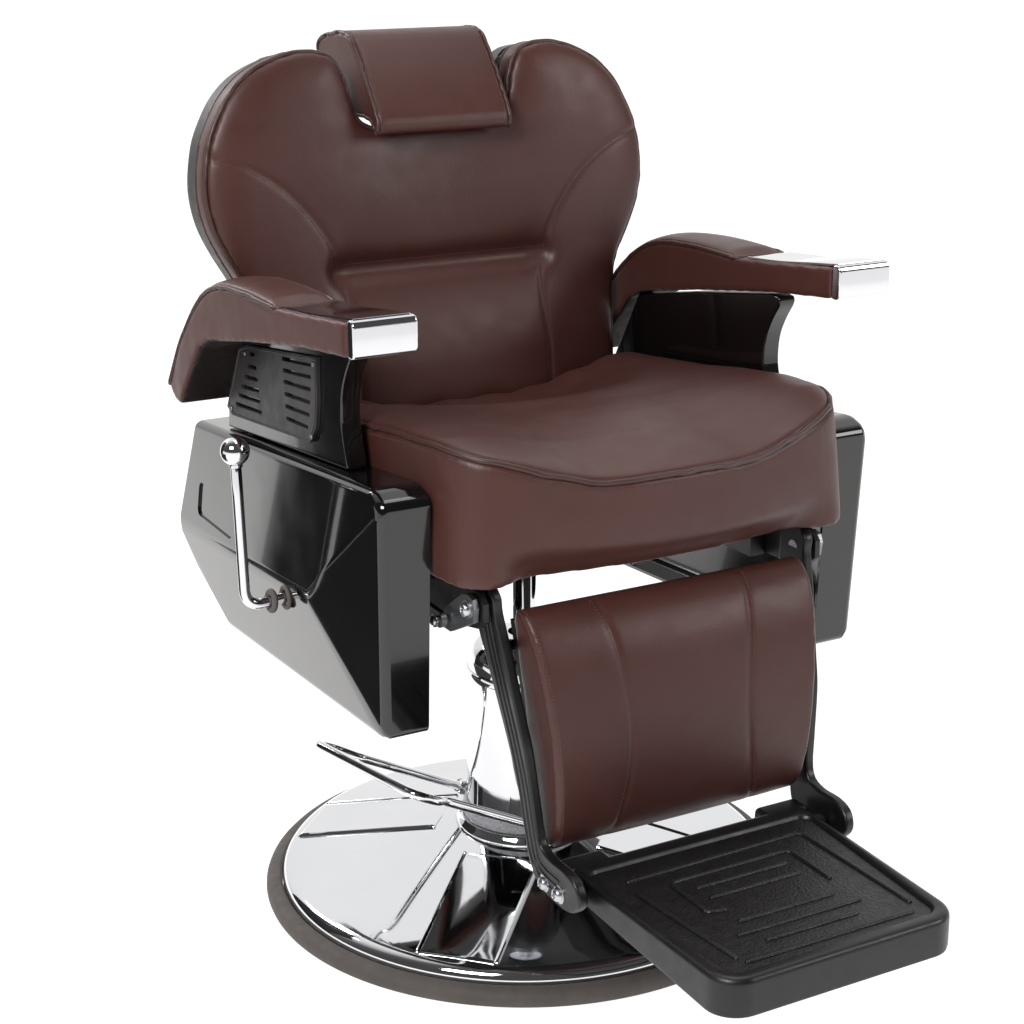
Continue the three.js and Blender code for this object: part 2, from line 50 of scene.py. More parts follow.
SHARP = 38  # degrees: joined pieces shade smooth below this angle

# ---- camera ----
CAMERA_AT = (-1.114, -2.000, 1.192)
CAMERA_TURN = (28.77, 17.17, -0.42)  # yaw, pitch and roll in degrees
CAMERA_LENS, CAMERA_SENSOR = 69.47, 36


def make_camera():
    yaw, pitch, roll = (math.radians(a) for a in CAMERA_TURN)
    forward = Vector(
        (math.sin(yaw) * math.cos(pitch), math.cos(yaw) * math.cos(pitch), -math.sin(pitch))
    )
    level = Vector((math.cos(yaw), -math.sin(yaw), 0))
    upright = level.cross(forward)
    right = math.cos(roll) * level + math.sin(roll) * upright
    up = right.cross(forward)
    data = bpy.data.cameras.new("camera")
    data.lens = CAMERA_LENS
    data.sensor_width = CAMERA_SENSOR
    camera = bpy.data.objects.new("camera", data)
    turn = Matrix((right, up, -forward)).transposed().to_4x4()
    camera.matrix_world = Matrix.Translation(Vector(CAMERA_AT)) @ turn
    scene.collection.objects.link(camera)
    scene.camera = camera


# ---- materials ----
def linear(red, green, blue):
    """A screen colour, 0 to 255, as the shader's linear values."""
    return tuple(
        (c / 255 / 12.92) if c / 255 <= 0.04045 else ((c / 255 + 0.055) / 1.055) ** 2.4
        for c in (red, green, blue)
    )


def ramp(tree, source, stops):
    """A colour ramp with stops of (position, colour), fed by a socket."""
    made = tree.nodes.new("ShaderNodeValToRGB")
    elements = made.color_ramp.elements
    while len(elements) < len(stops):
        elements.new(0.5)
    for element, (position, colour) in zip(elements, stops):
        element.position = position
        element.color = (*colour, 1)
    tree.links.new(source, made.inputs["Fac"])
    return made.outputs["Color"]


class Shader:
    """A principled material whose colour, roughness and bump come from small node chains."""

    def __init__(self, name, rough, metal, sockets):
        self.material = bpy.data.materials.new(name)
        self.material.use_nodes = True
        self.tree = self.material.node_tree
        self.bsdf = self.tree.nodes["Principled BSDF"]
        self.set("Roughness", rough)
        self.set("Metallic", metal)
        for socket, value in sockets.items():
            self.set(socket, value)
        self.where = self.node("ShaderNodeTexCoord").outputs["Object"]
        self.height = None

    def node(self, kind):
        return self.tree.nodes.new(kind)

    def link(self, a, b):
        self.tree.links.new(a, b)

    def set(self, socket, value):
        self.bsdf.inputs[socket].default_value = value

    def noise(self, scale, detail, stretch=None):
        made = self.node("ShaderNodeTexNoise")
        made.inputs["Scale"].default_value = scale
        made.inputs["Detail"].default_value = detail
        self.link(self._placed(stretch), made.inputs["Vector"])
        return made.outputs["Fac"]

    def cells(self, scale):
        made = self.node("ShaderNodeTexVoronoi")
        made.inputs["Scale"].default_value = scale
        self.link(self.where, made.inputs["Vector"])
        return made.outputs["Distance"]

    def _placed(self, stretch):
        if stretch is None:
            return self.where
        mapping = self.node("ShaderNodeMapping")
        mapping.inputs["Scale"].default_value = stretch
        self.link(self.where, mapping.inputs["Vector"])
        return mapping.outputs["Vector"]

    def colour(self, source, stops):
        self.link(ramp(self.tree, source, stops), self.bsdf.inputs["Base Color"])

    def roughness(self, source, low, high):
        made = self.node("ShaderNodeMapRange")
        limits = {"From Min": 0.3, "From Max": 0.7, "To Min": low, "To Max": high}
        for socket, value in limits.items():
            made.inputs[socket].default_value = value
        self.link(source, made.inputs["Value"])
        self.link(made.outputs["Result"], self.bsdf.inputs["Roughness"])

    def bump(self, source, strength, distance):
        made = self.node("ShaderNodeBump")
        made.inputs["Strength"].default_value = strength
        made.inputs["Distance"].default_value = distance
        self.link(source, made.inputs["Height"])
        if self.height is not None:
            self.link(self.height, made.inputs["Normal"])
        self.height = made.outputs["Normal"]
        self.link(self.height, self.bsdf.inputs["Normal"])


def tones(red, green, blue, spread=0.1):
    """Two stops of a ramp, a little darker and a little lighter than the colour."""
    base = linear(red, green, blue)
    return [
        (0.3, tuple(c * (1 - spread) for c in base)),
        (0.7, tuple(c * (1 + spread) for c in base)),
    ]


# Each row: key, material name, roughness, metallic, other sockets, colour (red, green, blue,
# spread) with its noise (scale, detail, stretch), roughness (low, high) with its noise, and
# bumps (kind, sizes, strength, distance).
SURFACES = (
    ("leather", "leather", 0.42, 0, {"Specular IOR Level": 0.42}, (70, 39, 34, 0.09), (7, 4),
     (0.37, 0.47), (35, 4), (("noise", (60, 3), 0.25, 0.0006), ("cells", (620,), 0.35, 0.00022))),
    ("piping", "leather_piping", 0.4, 0, {"Specular IOR Level": 0.5}, (62, 38, 34, 0.12), (40, 3),
     (0.34, 0.46), (120, 3), (("cells", (900,), 0.3, 0.0001),)),
    # Darker leather for the arm pads' downward faces at the rear: painted shade where the pads'
    # undersides lie in shadow.
    ("lining", "leather_painted_shade", 0.6, 0, {"Specular IOR Level": 0.2}, (25, 16, 15, 0.12), (30, 3),
     (0.5, 0.7), (90, 3), (("cells", (620,), 0.3, 0.0002),)),
    ("thread", "thread", 0.6, 0, {}, (88, 68, 66, 0.2), (900, 2),
     None, None, (("noise", (2500, 2, (1, 1, 3)), 0.5, 0.0001),)),
    ("chrome", "chrome", 0.05, 1, {}, (226, 227, 230, 0.02), (9, 3),
     (0.03, 0.075), (30, 4), (("noise", (5, 2), 0.04, 0.002),)),
    ("zinc", "zinc", 0.28, 1, {}, (196, 198, 202, 0.06), (60, 3),
     (0.2, 0.36), (220, 3), (("noise", (400, 3), 0.15, 0.0002),)),
    ("steel", "steel", 0.4, 1, {}, (142, 143, 146, 0.1), (25, 4),
     (0.3, 0.5), (90, 4, (1, 12, 1)), (("noise", (700, 2, (1, 14, 1)), 0.2, 0.0001),)),
    ("black_paint", "black_paint", 0.42, 0, {}, (16, 16, 17, 0.15), (20, 4),
     (0.34, 0.5), (60, 4), (("noise", (450, 2), 0.25, 0.0002),)),
    ("gloss_black", "gloss_black", 0.06, 0, {"Coat Weight": 0.5, "Coat Roughness": 0.03},
     (9, 9, 10, 0.1), (12, 3), (0.06, 0.13), (14, 4), (("noise", (9, 2), 0.05, 0.002),)),
    ("satin_black", "satin_black", 0.38, 0, {}, (15, 15, 16, 0.14), (18, 4),
     (0.32, 0.44), (70, 4), (("noise", (600, 3), 0.22, 0.00015),)),
    ("black_alloy", "black_alloy", 0.45, 0, {}, (25, 25, 27, 0.16), (30, 4),
     (0.36, 0.52), (90, 4), (("cells", (420,), 0.55, 0.0004),)),
    # A lighter copy of the satin black for the vent plates: painted light, standing in for the
    # light the plates catch from the floor.
    ("vent_black", "vent_black", 0.42, 0, {}, (44, 42, 42, 0.12), (18, 4),
     (0.36, 0.5), (70, 4), (("noise", (600, 3), 0.22, 0.00015),)),
    ("arm_black", "arm_black", 0.36, 0, {}, (14, 14, 15, 0.14), (24, 4),
     (0.3, 0.42), (80, 4), (("noise", (520, 3), 0.25, 0.00018),)),
    ("plate_mat", "plate_mat", 0.42, 0, {}, (15, 15, 16, 0.16), (30, 4),
     (0.36, 0.5), (90, 4), (("noise", (38, 3), 0.35, 0.0012), ("cells", (300,), 0.6, 0.0006))),
    ("seal", "pump_seal", 0.3, 0, {"Transmission Weight": 0.35}, (205, 206, 210, 0.06), (40, 3),
     (0.22, 0.38), (90, 3), (("noise", (60, 2), 0.2, 0.0006),)),
    ("rubber", "rubber", 0.7, 0, {}, (82, 76, 72, 0.12), (22, 4),
     (0.6, 0.8), (80, 4), (("noise", (500, 3), 0.4, 0.0003),)),
    ("wood", "wood", 0.65, 0, {}, (24, 21, 20, 0.2), (14, 6, (1, 14, 14)),
     (0.55, 0.75), (60, 3), (("noise", (80, 5, (1, 12, 12)), 0.3, 0.0004),)),
    ("floor", "floor", 0.6, 0, {"Emission Strength": 0.9, "Emission Color": (1, 0.992, 0.985, 1)},
     (150, 149, 148, 0.01), (1.5, 2), (0.55, 0.65), (6, 2), (("noise", (80, 2), 0.05, 0.0005),)),
    ("screen", "screen", 0.9, 0, {}, (22, 22, 24, 0.1), (3, 2),
     None, None, (("noise", (40, 2), 0.05, 0.0005),)),
)


def make_materials():
    made = {}
    for key, name, rough, metal, sockets, colour, grain, span, wear, bumps in SURFACES:
        shade = Shader(name, rough, metal, sockets)
        shade.colour(shade.noise(*grain), tones(*colour))
        if span:
            shade.roughness(shade.noise(*wear), *span)
        for kind, sizes, strength, distance in bumps:
            source = shade.noise(*sizes) if kind == "noise" else shade.cells(*sizes)
            shade.bump(source, strength, distance)
        made[key] = shade.material
    return made


make_camera()
LOOK = make_materials()


def dress_cad():
    """Every carried-over CAD node takes the node material of its slot."""
    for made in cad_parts.values():
        used = made.data.materials[0].name.split(".")[0] if made.data.materials else "steel"
        for slot in made.material_slots:
            slot.material = LOOK.get(used, LOOK["steel"])
        bevel(made, 0.0008, 2, 40)


# ---- mesh helpers ----
def mesh_object(name, vertices, faces, look, sharp=None):
    mesh = bpy.data.meshes.new(name)
    mesh.from_pydata([tuple(v) for v in vertices], [], [tuple(f) for f in faces])
    mesh.validate()
    made = bpy.data.objects.new(name, mesh)
    scene.collection.objects.link(made)
    mesh.materials.append(LOOK[look])
    finish_mesh(made, sharp)
    return made


def skin(rings, count, closed=False):
    """Faces between successive rings of count points."""
    faces = []
    for i in range(rings if closed else rings - 1):
        a, b = i * count, (i + 1) % rings * count
        faces += [(a + k, a + (k + 1) % count, b + (k + 1) % count, b + k) for k in range(count)]
    return faces


def slab(name, low, high, look):
    """A closed solid between two rings with the same number of points."""
    count = len(low)
    faces = [tuple(range(count)), tuple(range(count, 2 * count)), *skin(2, count)]
    return mesh_object(name, [*low, *high], faces, look)


def edit(made, change):
    """Runs a change on the mesh as a bmesh and writes it back."""
    bm = bmesh.new()
    bm.from_mesh(made.data)
    change(bm)
    bm.to_mesh(made.data)
    bm.free()


def finish_mesh(made, sharp=None):
    edit(made, lambda bm: bmesh.ops.recalc_face_normals(bm, faces=bm.faces))
    made.data.shade_smooth()
    if sharp is not None:
        made.data.set_sharp_from_angle(angle=math.radians(sharp))


def points_of(made):
    co = np.empty(len(made.data.vertices) * 3)
    made.data.vertices.foreach_get("co", co)
    return co.reshape(-1, 3)


def normals_of(made):
    co = np.empty(len(made.data.vertices) * 3)
    made.data.vertex_normals.foreach_get("vector", co)
    return co.reshape(-1, 3)


def set_points(made, co):
    made.data.vertices.foreach_set("co", np.ascontiguousarray(co, dtype=np.float32).ravel())
    made.data.update()


def apply_modifiers(made):
    """Keeps the evaluated mesh as the object's own."""
    graph = bpy.context.evaluated_depsgraph_get()
    graph.update()
    new = bpy.data.meshes.new_from_object(made.evaluated_get(graph))
    old = made.data
    made.modifiers.clear()
    made.data = new
    bpy.data.meshes.remove(old)
    new.name = made.name
    new.shade_smooth()


def modifier(made, kind, **settings):
    added = made.modifiers.new(kind.lower(), kind)
    for key, value in settings.items():
        setattr(added, key, value)
    return added


def bevel(made, width, segments, angle):
    modifier(made, "BEVEL", width=width, segments=segments, limit_method="ANGLE",
             angle_limit=math.radians(angle))


def rounded(made, width, segments, angle, sharp=40):
    """Bevels the hard edges and keeps the result."""
    bevel(made, width, segments, angle)
    apply_modifiers(made)
    if sharp is not None:
        made.data.set_sharp_from_angle(angle=math.radians(sharp))
    return made


def smoothstep(low, high, x):
    t = np.clip((np.asarray(x, float) - low) / (high - low), 0, 1)
    return t * t * (3 - 2 * t)


def curve_through(points, count, closed=False):
    """Catmull-Rom through the points, resampled at even steps."""
    p = np.array(points, float)
    n = len(p)
    first = p[-1] if closed else 2 * p[0] - p[1]
    after = [p[0], p[1]] if closed else [2 * p[-1] - p[-2]]
    knots = np.vstack([first, p, *after])
    parts = []
    for i in range(n if closed else n - 1):
        a, b, c, d = knots[i : i + 4]
        t = np.linspace(0, 1, 24, endpoint=False)[:, None]
        bend, twist = 2 * a - 5 * b + 4 * c - d, 3 * b - 3 * c + d - a
        parts.append(0.5 * (2 * b + (c - a) * t + bend * t**2 + twist * t**3))
    dense = np.vstack([*parts, p[:1] if closed else p[-1:]])
    step = np.linalg.norm(np.diff(dense, axis=0), axis=1)
    along = np.concatenate([[0], np.cumsum(step)])
    where = np.linspace(0, along[-1], count + closed)[:count]
    return np.column_stack([np.interp(where, along, dense[:, k]) for k in range(dense.shape[1])])


def denser(path, steps):
    """Even points along each leg of a polyline, all but its last point."""
    return np.vstack([
        np.linspace(a, b, steps, endpoint=False) for a, b in zip(path[:-1], path[1:])
    ])


def directions(path):
    """Unit tangents of a path."""
    flow = np.gradient(path, axis=0)
    return flow / np.linalg.norm(flow, axis=1)[:, None]


def tube(name, path, radius, look, closed=False, sides=12):
    """A round bar along a path of points, closed on itself or with rounded ends."""
    path = np.array(path, float)
    count = len(path)
    if closed:
        tangents = np.roll(path, -1, 0) - np.roll(path, 1, 0)
    else:
        tangents = np.gradient(path, axis=0)
    tangents /= np.linalg.norm(tangents, axis=1)[:, None]
    side = np.cross(tangents[0], (0.31, 0.52, 0.79))
    side /= np.linalg.norm(side)
    frames = []
    for t in tangents:
        side = side - t * (side @ t)
        side /= np.linalg.norm(side)
        frames.append((side, np.cross(t, side)))
    if closed:  # spreads the twist that is left over the whole loop
        s0, s1 = frames[0][0], frames[-1][0]
        left = math.atan2(np.cross(s1, s0) @ tangents[0], s1 @ s0)
    else:
        left = 0.0
    rings = [(path[i], *frames[i], 1.0, i / count) for i in range(count)]
    if not closed:
        for end, sign in ((0, -1), (count - 1, 1)):
            caps = [
                (path[end] + tangents[end] * sign * radius * a, *frames[end], b, end / count)
                for a, b in ((0.35, 0.92), (0.62, 0.7))
            ]
            rings = list(reversed(caps)) + rings if end == 0 else rings + caps
    vertices = []
    for centre, u, v, size, share in rings:
        for k in range(sides):
            angle = 2 * math.pi * k / sides + left * share
            vertices.append(centre + radius * size * (math.cos(angle) * u + math.sin(angle) * v))
    total = len(rings)
    faces = skin(total, sides, closed)
    if not closed:
        faces.append(tuple(range(sides))[::-1])
        faces.append(tuple(range((total - 1) * sides, total * sides)))
    return mesh_object(name, vertices, faces, look)


def lathe(name, profile, look, segments=128, sharp=35):
    """Turns an (r, z) profile, closed on itself, about the pump axis."""
    vertices, faces = [], []
    count = len(profile)
    for k in range(segments):
        angle = 2 * math.pi * k / segments
        for r, z in profile:
            vertices.append((r * math.cos(angle), r * math.sin(angle), z))
    for k in range(segments):
        m = (k + 1) % segments
        for i in range(count):
            j = (i + 1) % count
            faces.append((k * count + i, m * count + i, m * count + j, k * count + j))
    made = mesh_object(name, vertices, faces, look)
    edit(made, lambda bm: bmesh.ops.remove_doubles(bm, verts=bm.verts, dist=1e-6))
    finish_mesh(made, sharp)
    return made


def prism(name, outline, axis, low, high, look):
    """An outline in the two other axes, drawn out along one axis."""
    order = {"x": (2, 0, 1), "y": (0, 2, 1), "z": (0, 1, 2)}[axis]
    rings = [[tuple((u, v, level)[k] for k in order) for u, v in outline] for level in (low, high)]
    return slab(name, *rings, look)


def side_prism(name, outline, side, inner, outer, look):
    """A (y, z) outline between two distances from the middle, on one side."""
    low, high = sorted((side * inner, side * outer))
    return prism(name, outline, "x", low, high, look)


def join_objects(name, pieces, look=None):
    """Puts the meshes of several objects in one object and removes the objects."""
    vertices, faces, offset = [], [], 0
    for piece in pieces:
        co = points_of(piece)
        vertices.extend(co.tolist())
        faces.extend([tuple(v + offset for v in f.vertices) for f in piece.data.polygons])
        offset += len(co)
    first = pieces[0]
    mesh = bpy.data.meshes.new(name)
    mesh.from_pydata(vertices, [], faces)
    made = bpy.data.objects.new(name, mesh)
    scene.collection.objects.link(made)
    mesh.materials.append(LOOK[look] if look else first.data.materials[0])
    mesh.shade_smooth()
    mesh.set_sharp_from_angle(angle=math.radians(SHARP))
    for piece in pieces:
        bpy.data.objects.remove(piece)
    return made


def flatten(made):
    """Keeps broad faces flat in the light beside their rounded edges."""
    modifier(made, "WEIGHTED_NORMAL", mode="FACE_AREA", weight=50, keep_sharp=True)
    return made


def place(made, body, slot, *nodes):
    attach(made, body)
    if nodes:
        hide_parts(*nodes)
    return made


# ---- soft goods ----
def remesh(made, voxel, smooth=2):
    modifier(made, "REMESH", mode="VOXEL", voxel_size=voxel, adaptivity=0.0)
    if smooth:
        modifier(made, "SMOOTH", factor=0.5, iterations=smooth)
    apply_modifiers(made)


def nearest_distance(co, path, reach):
    """Each point's distance from a dense path, up to reach, and the nearest path point's index."""
    path = np.asarray(path, float)
    distance = np.full(len(co), reach * 2)
    index = np.zeros(len(co), int)
    low, high = path.min(0) - reach, path.max(0) + reach
    near = np.where(np.all((co >= low) & (co <= high), axis=1))[0]
    for start in range(0, len(near), 4000):
        some = near[start : start + 4000]
        gap = np.linalg.norm(co[some, None, :] - path[None, :, :], axis=2)
        index[some] = gap.argmin(1)
        distance[some] = gap.min(1)
    return distance, index


def beside(co, path, low, high, reach):
    """1 on a path, fading to 0 between the distances low and high."""
    return 1 - smoothstep(low, high, nearest_distance(co, path, reach)[0])


def smooth_field(made, field, rounds):
    """Evens a value per point out over the neighbours."""
    ends = np.empty(len(made.data.edges) * 2, dtype=np.int32)
    made.data.edges.foreach_get("vertices", ends)
    a, b = ends.reshape(-1, 2).T
    count = len(field)
    degree = np.maximum(np.bincount(a, minlength=count) + np.bincount(b, minlength=count), 1)
    for _ in range(rounds):
        total = np.column_stack([
            np.bincount(a, field[b, k], count) + np.bincount(b, field[a, k], count)
            for k in range(3)
        ])
        field = 0.5 * field + 0.5 * total / degree[:, None]
    return field


def inflate(made, cap, held):
    """Swells the mesh with cloth under pressure, by less than cap.

    held is 1 where a point stays and 0 where it is free.
    """
    pressure, frames = 4.0, 20
    base = points_of(made)
    group = made.vertex_groups.new(name="held")
    for level in (0.25, 0.5, 0.75, 1.0):
        chosen = np.where((held > level - 0.25 + 1e-3) & (held <= level + 1e-3))[0]
        group.add([int(i) for i in chosen], level, "REPLACE")
    cloth = modifier(made, "CLOTH")
    settings = cloth.settings
    settings.use_pressure = True
    settings.uniform_pressure_force = pressure
    settings.vertex_group_mass = group.name
    settings.effector_weights.gravity = 0
    settings.quality = 4
    cloth.collision_settings.use_collision = False
    cloth.collision_settings.use_self_collision = False
    cloth.point_cache.frame_start = 1
    cloth.point_cache.frame_end = frames
    for number in range(1, frames + 1):
        scene.frame_set(number)
    graph = bpy.context.evaluated_depsgraph_get()
    swollen = made.evaluated_get(graph).data
    co = np.empty(len(swollen.vertices) * 3)
    swollen.vertices.foreach_get("co", co)
    move = smooth_field(made, co.reshape(-1, 3) - base, 8)
    length = np.maximum(np.linalg.norm(move, axis=1), 1e-9)
    move *= (cap * np.tanh(length / cap) / length)[:, None]
    made.modifiers.clear()
    made.vertex_groups.clear()
    scene.frame_set(1)
    set_points(made, base + move)


def refine(made):
    modifier(made, "SUBSURF", levels=1, render_levels=1)
    apply_modifiers(made)


def crease(made, path, depth, width, reach=None):
    """Pulls the surface in along a path, deepest on the path."""
    co = points_of(made)
    reach = reach or width * 3
    distance, _ = nearest_distance(co, path, reach)
    pull = depth * np.exp(-((distance / width) ** 2))
    pull[distance >= reach] = 0
    set_points(made, co - normals_of(made) * pull[:, None])


def tree_of(made):
    return BVHTree.FromPolygons(
        [Vector(v) for v in points_of(made)], [tuple(f.vertices) for f in made.data.polygons]
    )


def settle(path, tree, lift=0.0):
    """Moves path points on to the nearest place of a surface, and gives its normals there."""
    out, normals = [], []
    for point in path:
        spot, normal, _, _ = tree.find_nearest(Vector(point))
        out.append(np.array(spot + normal * lift))
        normals.append(np.array(normal))
    return np.array(out), np.array(normals)


def pipe(name, path, tree, lift, count, radius, body, closed=False):
    """A piping cord lying on the surface along a dense path."""
    bead, _ = settle(path, tree, lift)
    cord = tube(name, curve_through(bead[::4], count, closed), radius, "piping", closed)
    place(cord, body, "leather")


def stitches(name, paths, tree, body):
    """Short raised threads, end to end along each path, lying on the surface."""
    pitch, long, thick, lift = 0.0042, 0.0028, 0.00042, 0.0001
    vertices, faces = [], []
    ring = 5
    shares = (-1.0, -0.7, 0.0, 0.7, 1.0)
    sizes = (0.25, 0.8, 1.0, 0.8, 0.25)
    for path in paths:
        length = np.linalg.norm(np.diff(path, axis=0), axis=1).sum()
        count = max(2, int(length / pitch))
        spots, normals = settle(curve_through(path, count), tree, lift)
        tangents = np.gradient(spots, axis=0)
        for spot, normal, t in zip(spots, normals, tangents):
            t = t / max(np.linalg.norm(t), 1e-9)
            side = np.cross(t, normal)
            start = len(vertices)
            for share, size in zip(shares, sizes):
                centre = spot + t * share * long / 2 - normal * thick * 0.5 * share * share
                for k in range(ring):
                    a = 2 * math.pi * k / ring
                    out = math.cos(a) * side + math.sin(a) * normal
                    vertices.append(centre + thick * size * out)
            faces += [tuple(start + v for v in face) for face in skin(len(shares), ring)]
            faces.append(tuple(start + k for k in range(ring)))
            faces.append(tuple(start + 4 * ring + k for k in reversed(range(ring))))
    place(mesh_object(name, vertices, faces, "thread"), body, "leather")


# ---- seat cushion ----
SEAT_HALF = (
    (0.0, -0.350), (0.060, -0.3485), (0.100, -0.344), (0.135, -0.338), (0.170, -0.331),
    (0.203, -0.318), (0.229, -0.297), (0.246, -0.262), (0.253, -0.200), (0.2545, -0.120),
    (0.2545, -0.040), (0.252, 0.060), (0.249, 0.135),
)
SEAT_REAR_Y = 0.150
SEAT_EDGE = ((-0.36, 0.655), (-0.297, 0.659), (-0.257, 0.663), (-0.194, 0.661), (-0.103, 0.651),
             (-0.03, 0.640), (0.09, 0.629), (0.16, 0.624))  # y and height of the piping


def seat_edge_height(x, y):
    side = np.interp(y, *zip(*SEAT_EDGE))
    dip = 0.034 * (1 - smoothstep(0.075, 0.25, np.abs(x))) * np.clip(-np.asarray(y) / 0.33, 0, 1)
    return side - dip


def seat_top(x, y, inside):
    rise = 0.008 * np.sqrt(np.clip(1 - (1 - np.minimum(inside / 0.05, 1)) ** 2, 0, 1))
    away = np.sqrt((x / 0.225) ** 2 + ((y - 0.095) / 0.175) ** 2)
    bowl = 0.034 * (1 - smoothstep(0.35, 1.12, away))
    return seat_edge_height(x, y) + rise - bowl


def make_seat_cushion():
    half = curve_through(SEAT_HALF, 60)
    front = np.vstack([half[::-1] * (-1, 1), half[1:]])
    rear = np.array([(0.243, SEAT_REAR_Y - 0.003), (0.235, SEAT_REAR_Y)])
    outline = np.vstack([front, rear, rear[::-1] * (-1, 1)])
    low, high = 0.520, 0.640
    made = prism("seat_cushion_soft", outline, "z", low, high, "leather")
    remesh(made, 0.006)
    co = points_of(made)
    flat = co * (1, 1, 0)
    closed = np.vstack([outline, outline[:1]])
    edge = np.column_stack([closed, np.zeros(len(closed))])
    inside, _ = nearest_distance(flat, denser(edge, 8), 0.30)
    share = np.clip((co[:, 2] - low) / (high - low), 0, 1)
    x, y = co[:, 0], co[:, 1]
    top = seat_top(x, y, inside)
    co[:, 2] = 0.519 + share * (top - 0.519) + (co[:, 2] - low - share * (high - low))
    away = np.hypot(np.abs(x) - 0.235, y + 0.315)
    corner = 0.018 * np.exp(-((away / 0.05) ** 2)) * (1 - share) ** 0.7
    co[:, 0] += np.sign(x) * corner * 0.7
    co[:, 1] -= corner * 0.7
    under = (1 - smoothstep(0, 0.35, share)) * smoothstep(-0.2, -0.34, y)
    co[:, 1] += 0.028 * under * (1 - smoothstep(0.16, 0.22, np.abs(x)))
    set_points(made, co)

    piping = np.column_stack([front, seat_edge_height(front[:, 0], front[:, 1])])
    piping = curve_through(piping, 400)
    held = beside(co, piping, 0.006, 0.028, 0.03)
    held = np.maximum(held, 1 - smoothstep(0.02, 0.10, share))
    held = np.maximum(held, smoothstep(0.10, 0.145, co[:, 1]))
    held = np.maximum(held, 0.5 * smoothstep(-0.14, -0.02, co[:, 1]) * (share > 0.8))
    inflate(made, 0.010, held)
    refine(made)
    crease(made, piping, 0.0035, 0.0042)
    tree = tree_of(made)
    pipe("seat_piping", piping, tree, 0.0016, 380, 0.0031, "seat")
    below = piping - (0, 0, 0.0085)
    stitches("seat_stitches", [below[60:-60]], tree, "seat")
    place(made, "seat", "leather", "seat_cushion")


# ---- back cushion, drawn in its own plane: x, depth behind the front piping, height ----
BACK_TILT = math.radians(6)
BACK_AT = (0.229, 0.909)  # y and z of the plane's origin
BACK_HALF = (
    (0.225, 0.552), (0.243, 0.558), (0.2465, 0.600), (0.2485, 0.650), (0.2505, 0.700),
    (0.259, 0.742), (0.283, 0.788), (0.298, 0.825), (0.3035, 0.867), (0.297, 0.912), (0.286, 0.942),
    (0.264, 0.978), (0.232, 1.005), (0.186, 1.0225), (0.146, 1.0225), (0.124, 1.011),
    (0.1125, 0.985), (0.1055, 0.958), (0.0975, 0.939), (0.080, 0.9295), (0.050, 0.9275),
    (0.0, 0.927),
)
BACK_CURVED_SEAM = ((0.302, 0.906), (0.272, 0.899), (0.246, 0.888), (0.210, 0.864), (0.176, 0.828),
                    (0.152, 0.792), (0.137, 0.758))
BACK_UPRIGHT_SEAM = ((0.134, 0.762), (0.134, 0.70), (0.134, 0.64), (0.134, 0.585))
BACK_WAIST_Z = 0.758
BACK_WAIST = tuple((x, BACK_WAIST_Z) for x in (-0.136, -0.05, 0.05, 0.136))
BACK_DEPTH = 0.035


def from_back_plane(local):
    """Points (x, depth, height) of the back's own plane, in the chair's frame."""
    c, s = math.cos(BACK_TILT), math.sin(BACK_TILT)
    x, depth, up = local[:, 0], local[:, 1], local[:, 2]
    return np.column_stack([x, BACK_AT[0] + depth * c + up * s, BACK_AT[1] - depth * s + up * c])


def back_outline(points_each_side=110):
    half = curve_through(BACK_HALF, points_each_side)
    ring = np.vstack([half, half[-2::-1] * (-1, 1)])
    return np.column_stack([ring[:, 0], ring[:, 1] - BACK_AT[1]])


def back_front(x, up, inside):
    """How far the front stands before the piping plane."""
    z = up + BACK_AT[1]
    roll = 0.017 * np.sqrt(np.clip(1 - (1 - np.minimum(inside / 0.055, 1)) ** 2, 0, 1))
    dish = 0.010 * np.exp(-((x / 0.11) ** 2)) * smoothstep(0.76, 0.84, z)
    dish = dish * (1 - smoothstep(0.90, 0.94, z))
    waist = 0.012 * np.exp(-(((z - BACK_WAIST_Z) / 0.030) ** 2))
    waist = waist * (1 - smoothstep(0.125, 0.165, np.abs(x)))
    lumbar = 0.020 * smoothstep(0.745, 0.63, z) * (1 - smoothstep(0.10, 0.24, np.abs(x)))
    return roll - dish - waist + lumbar


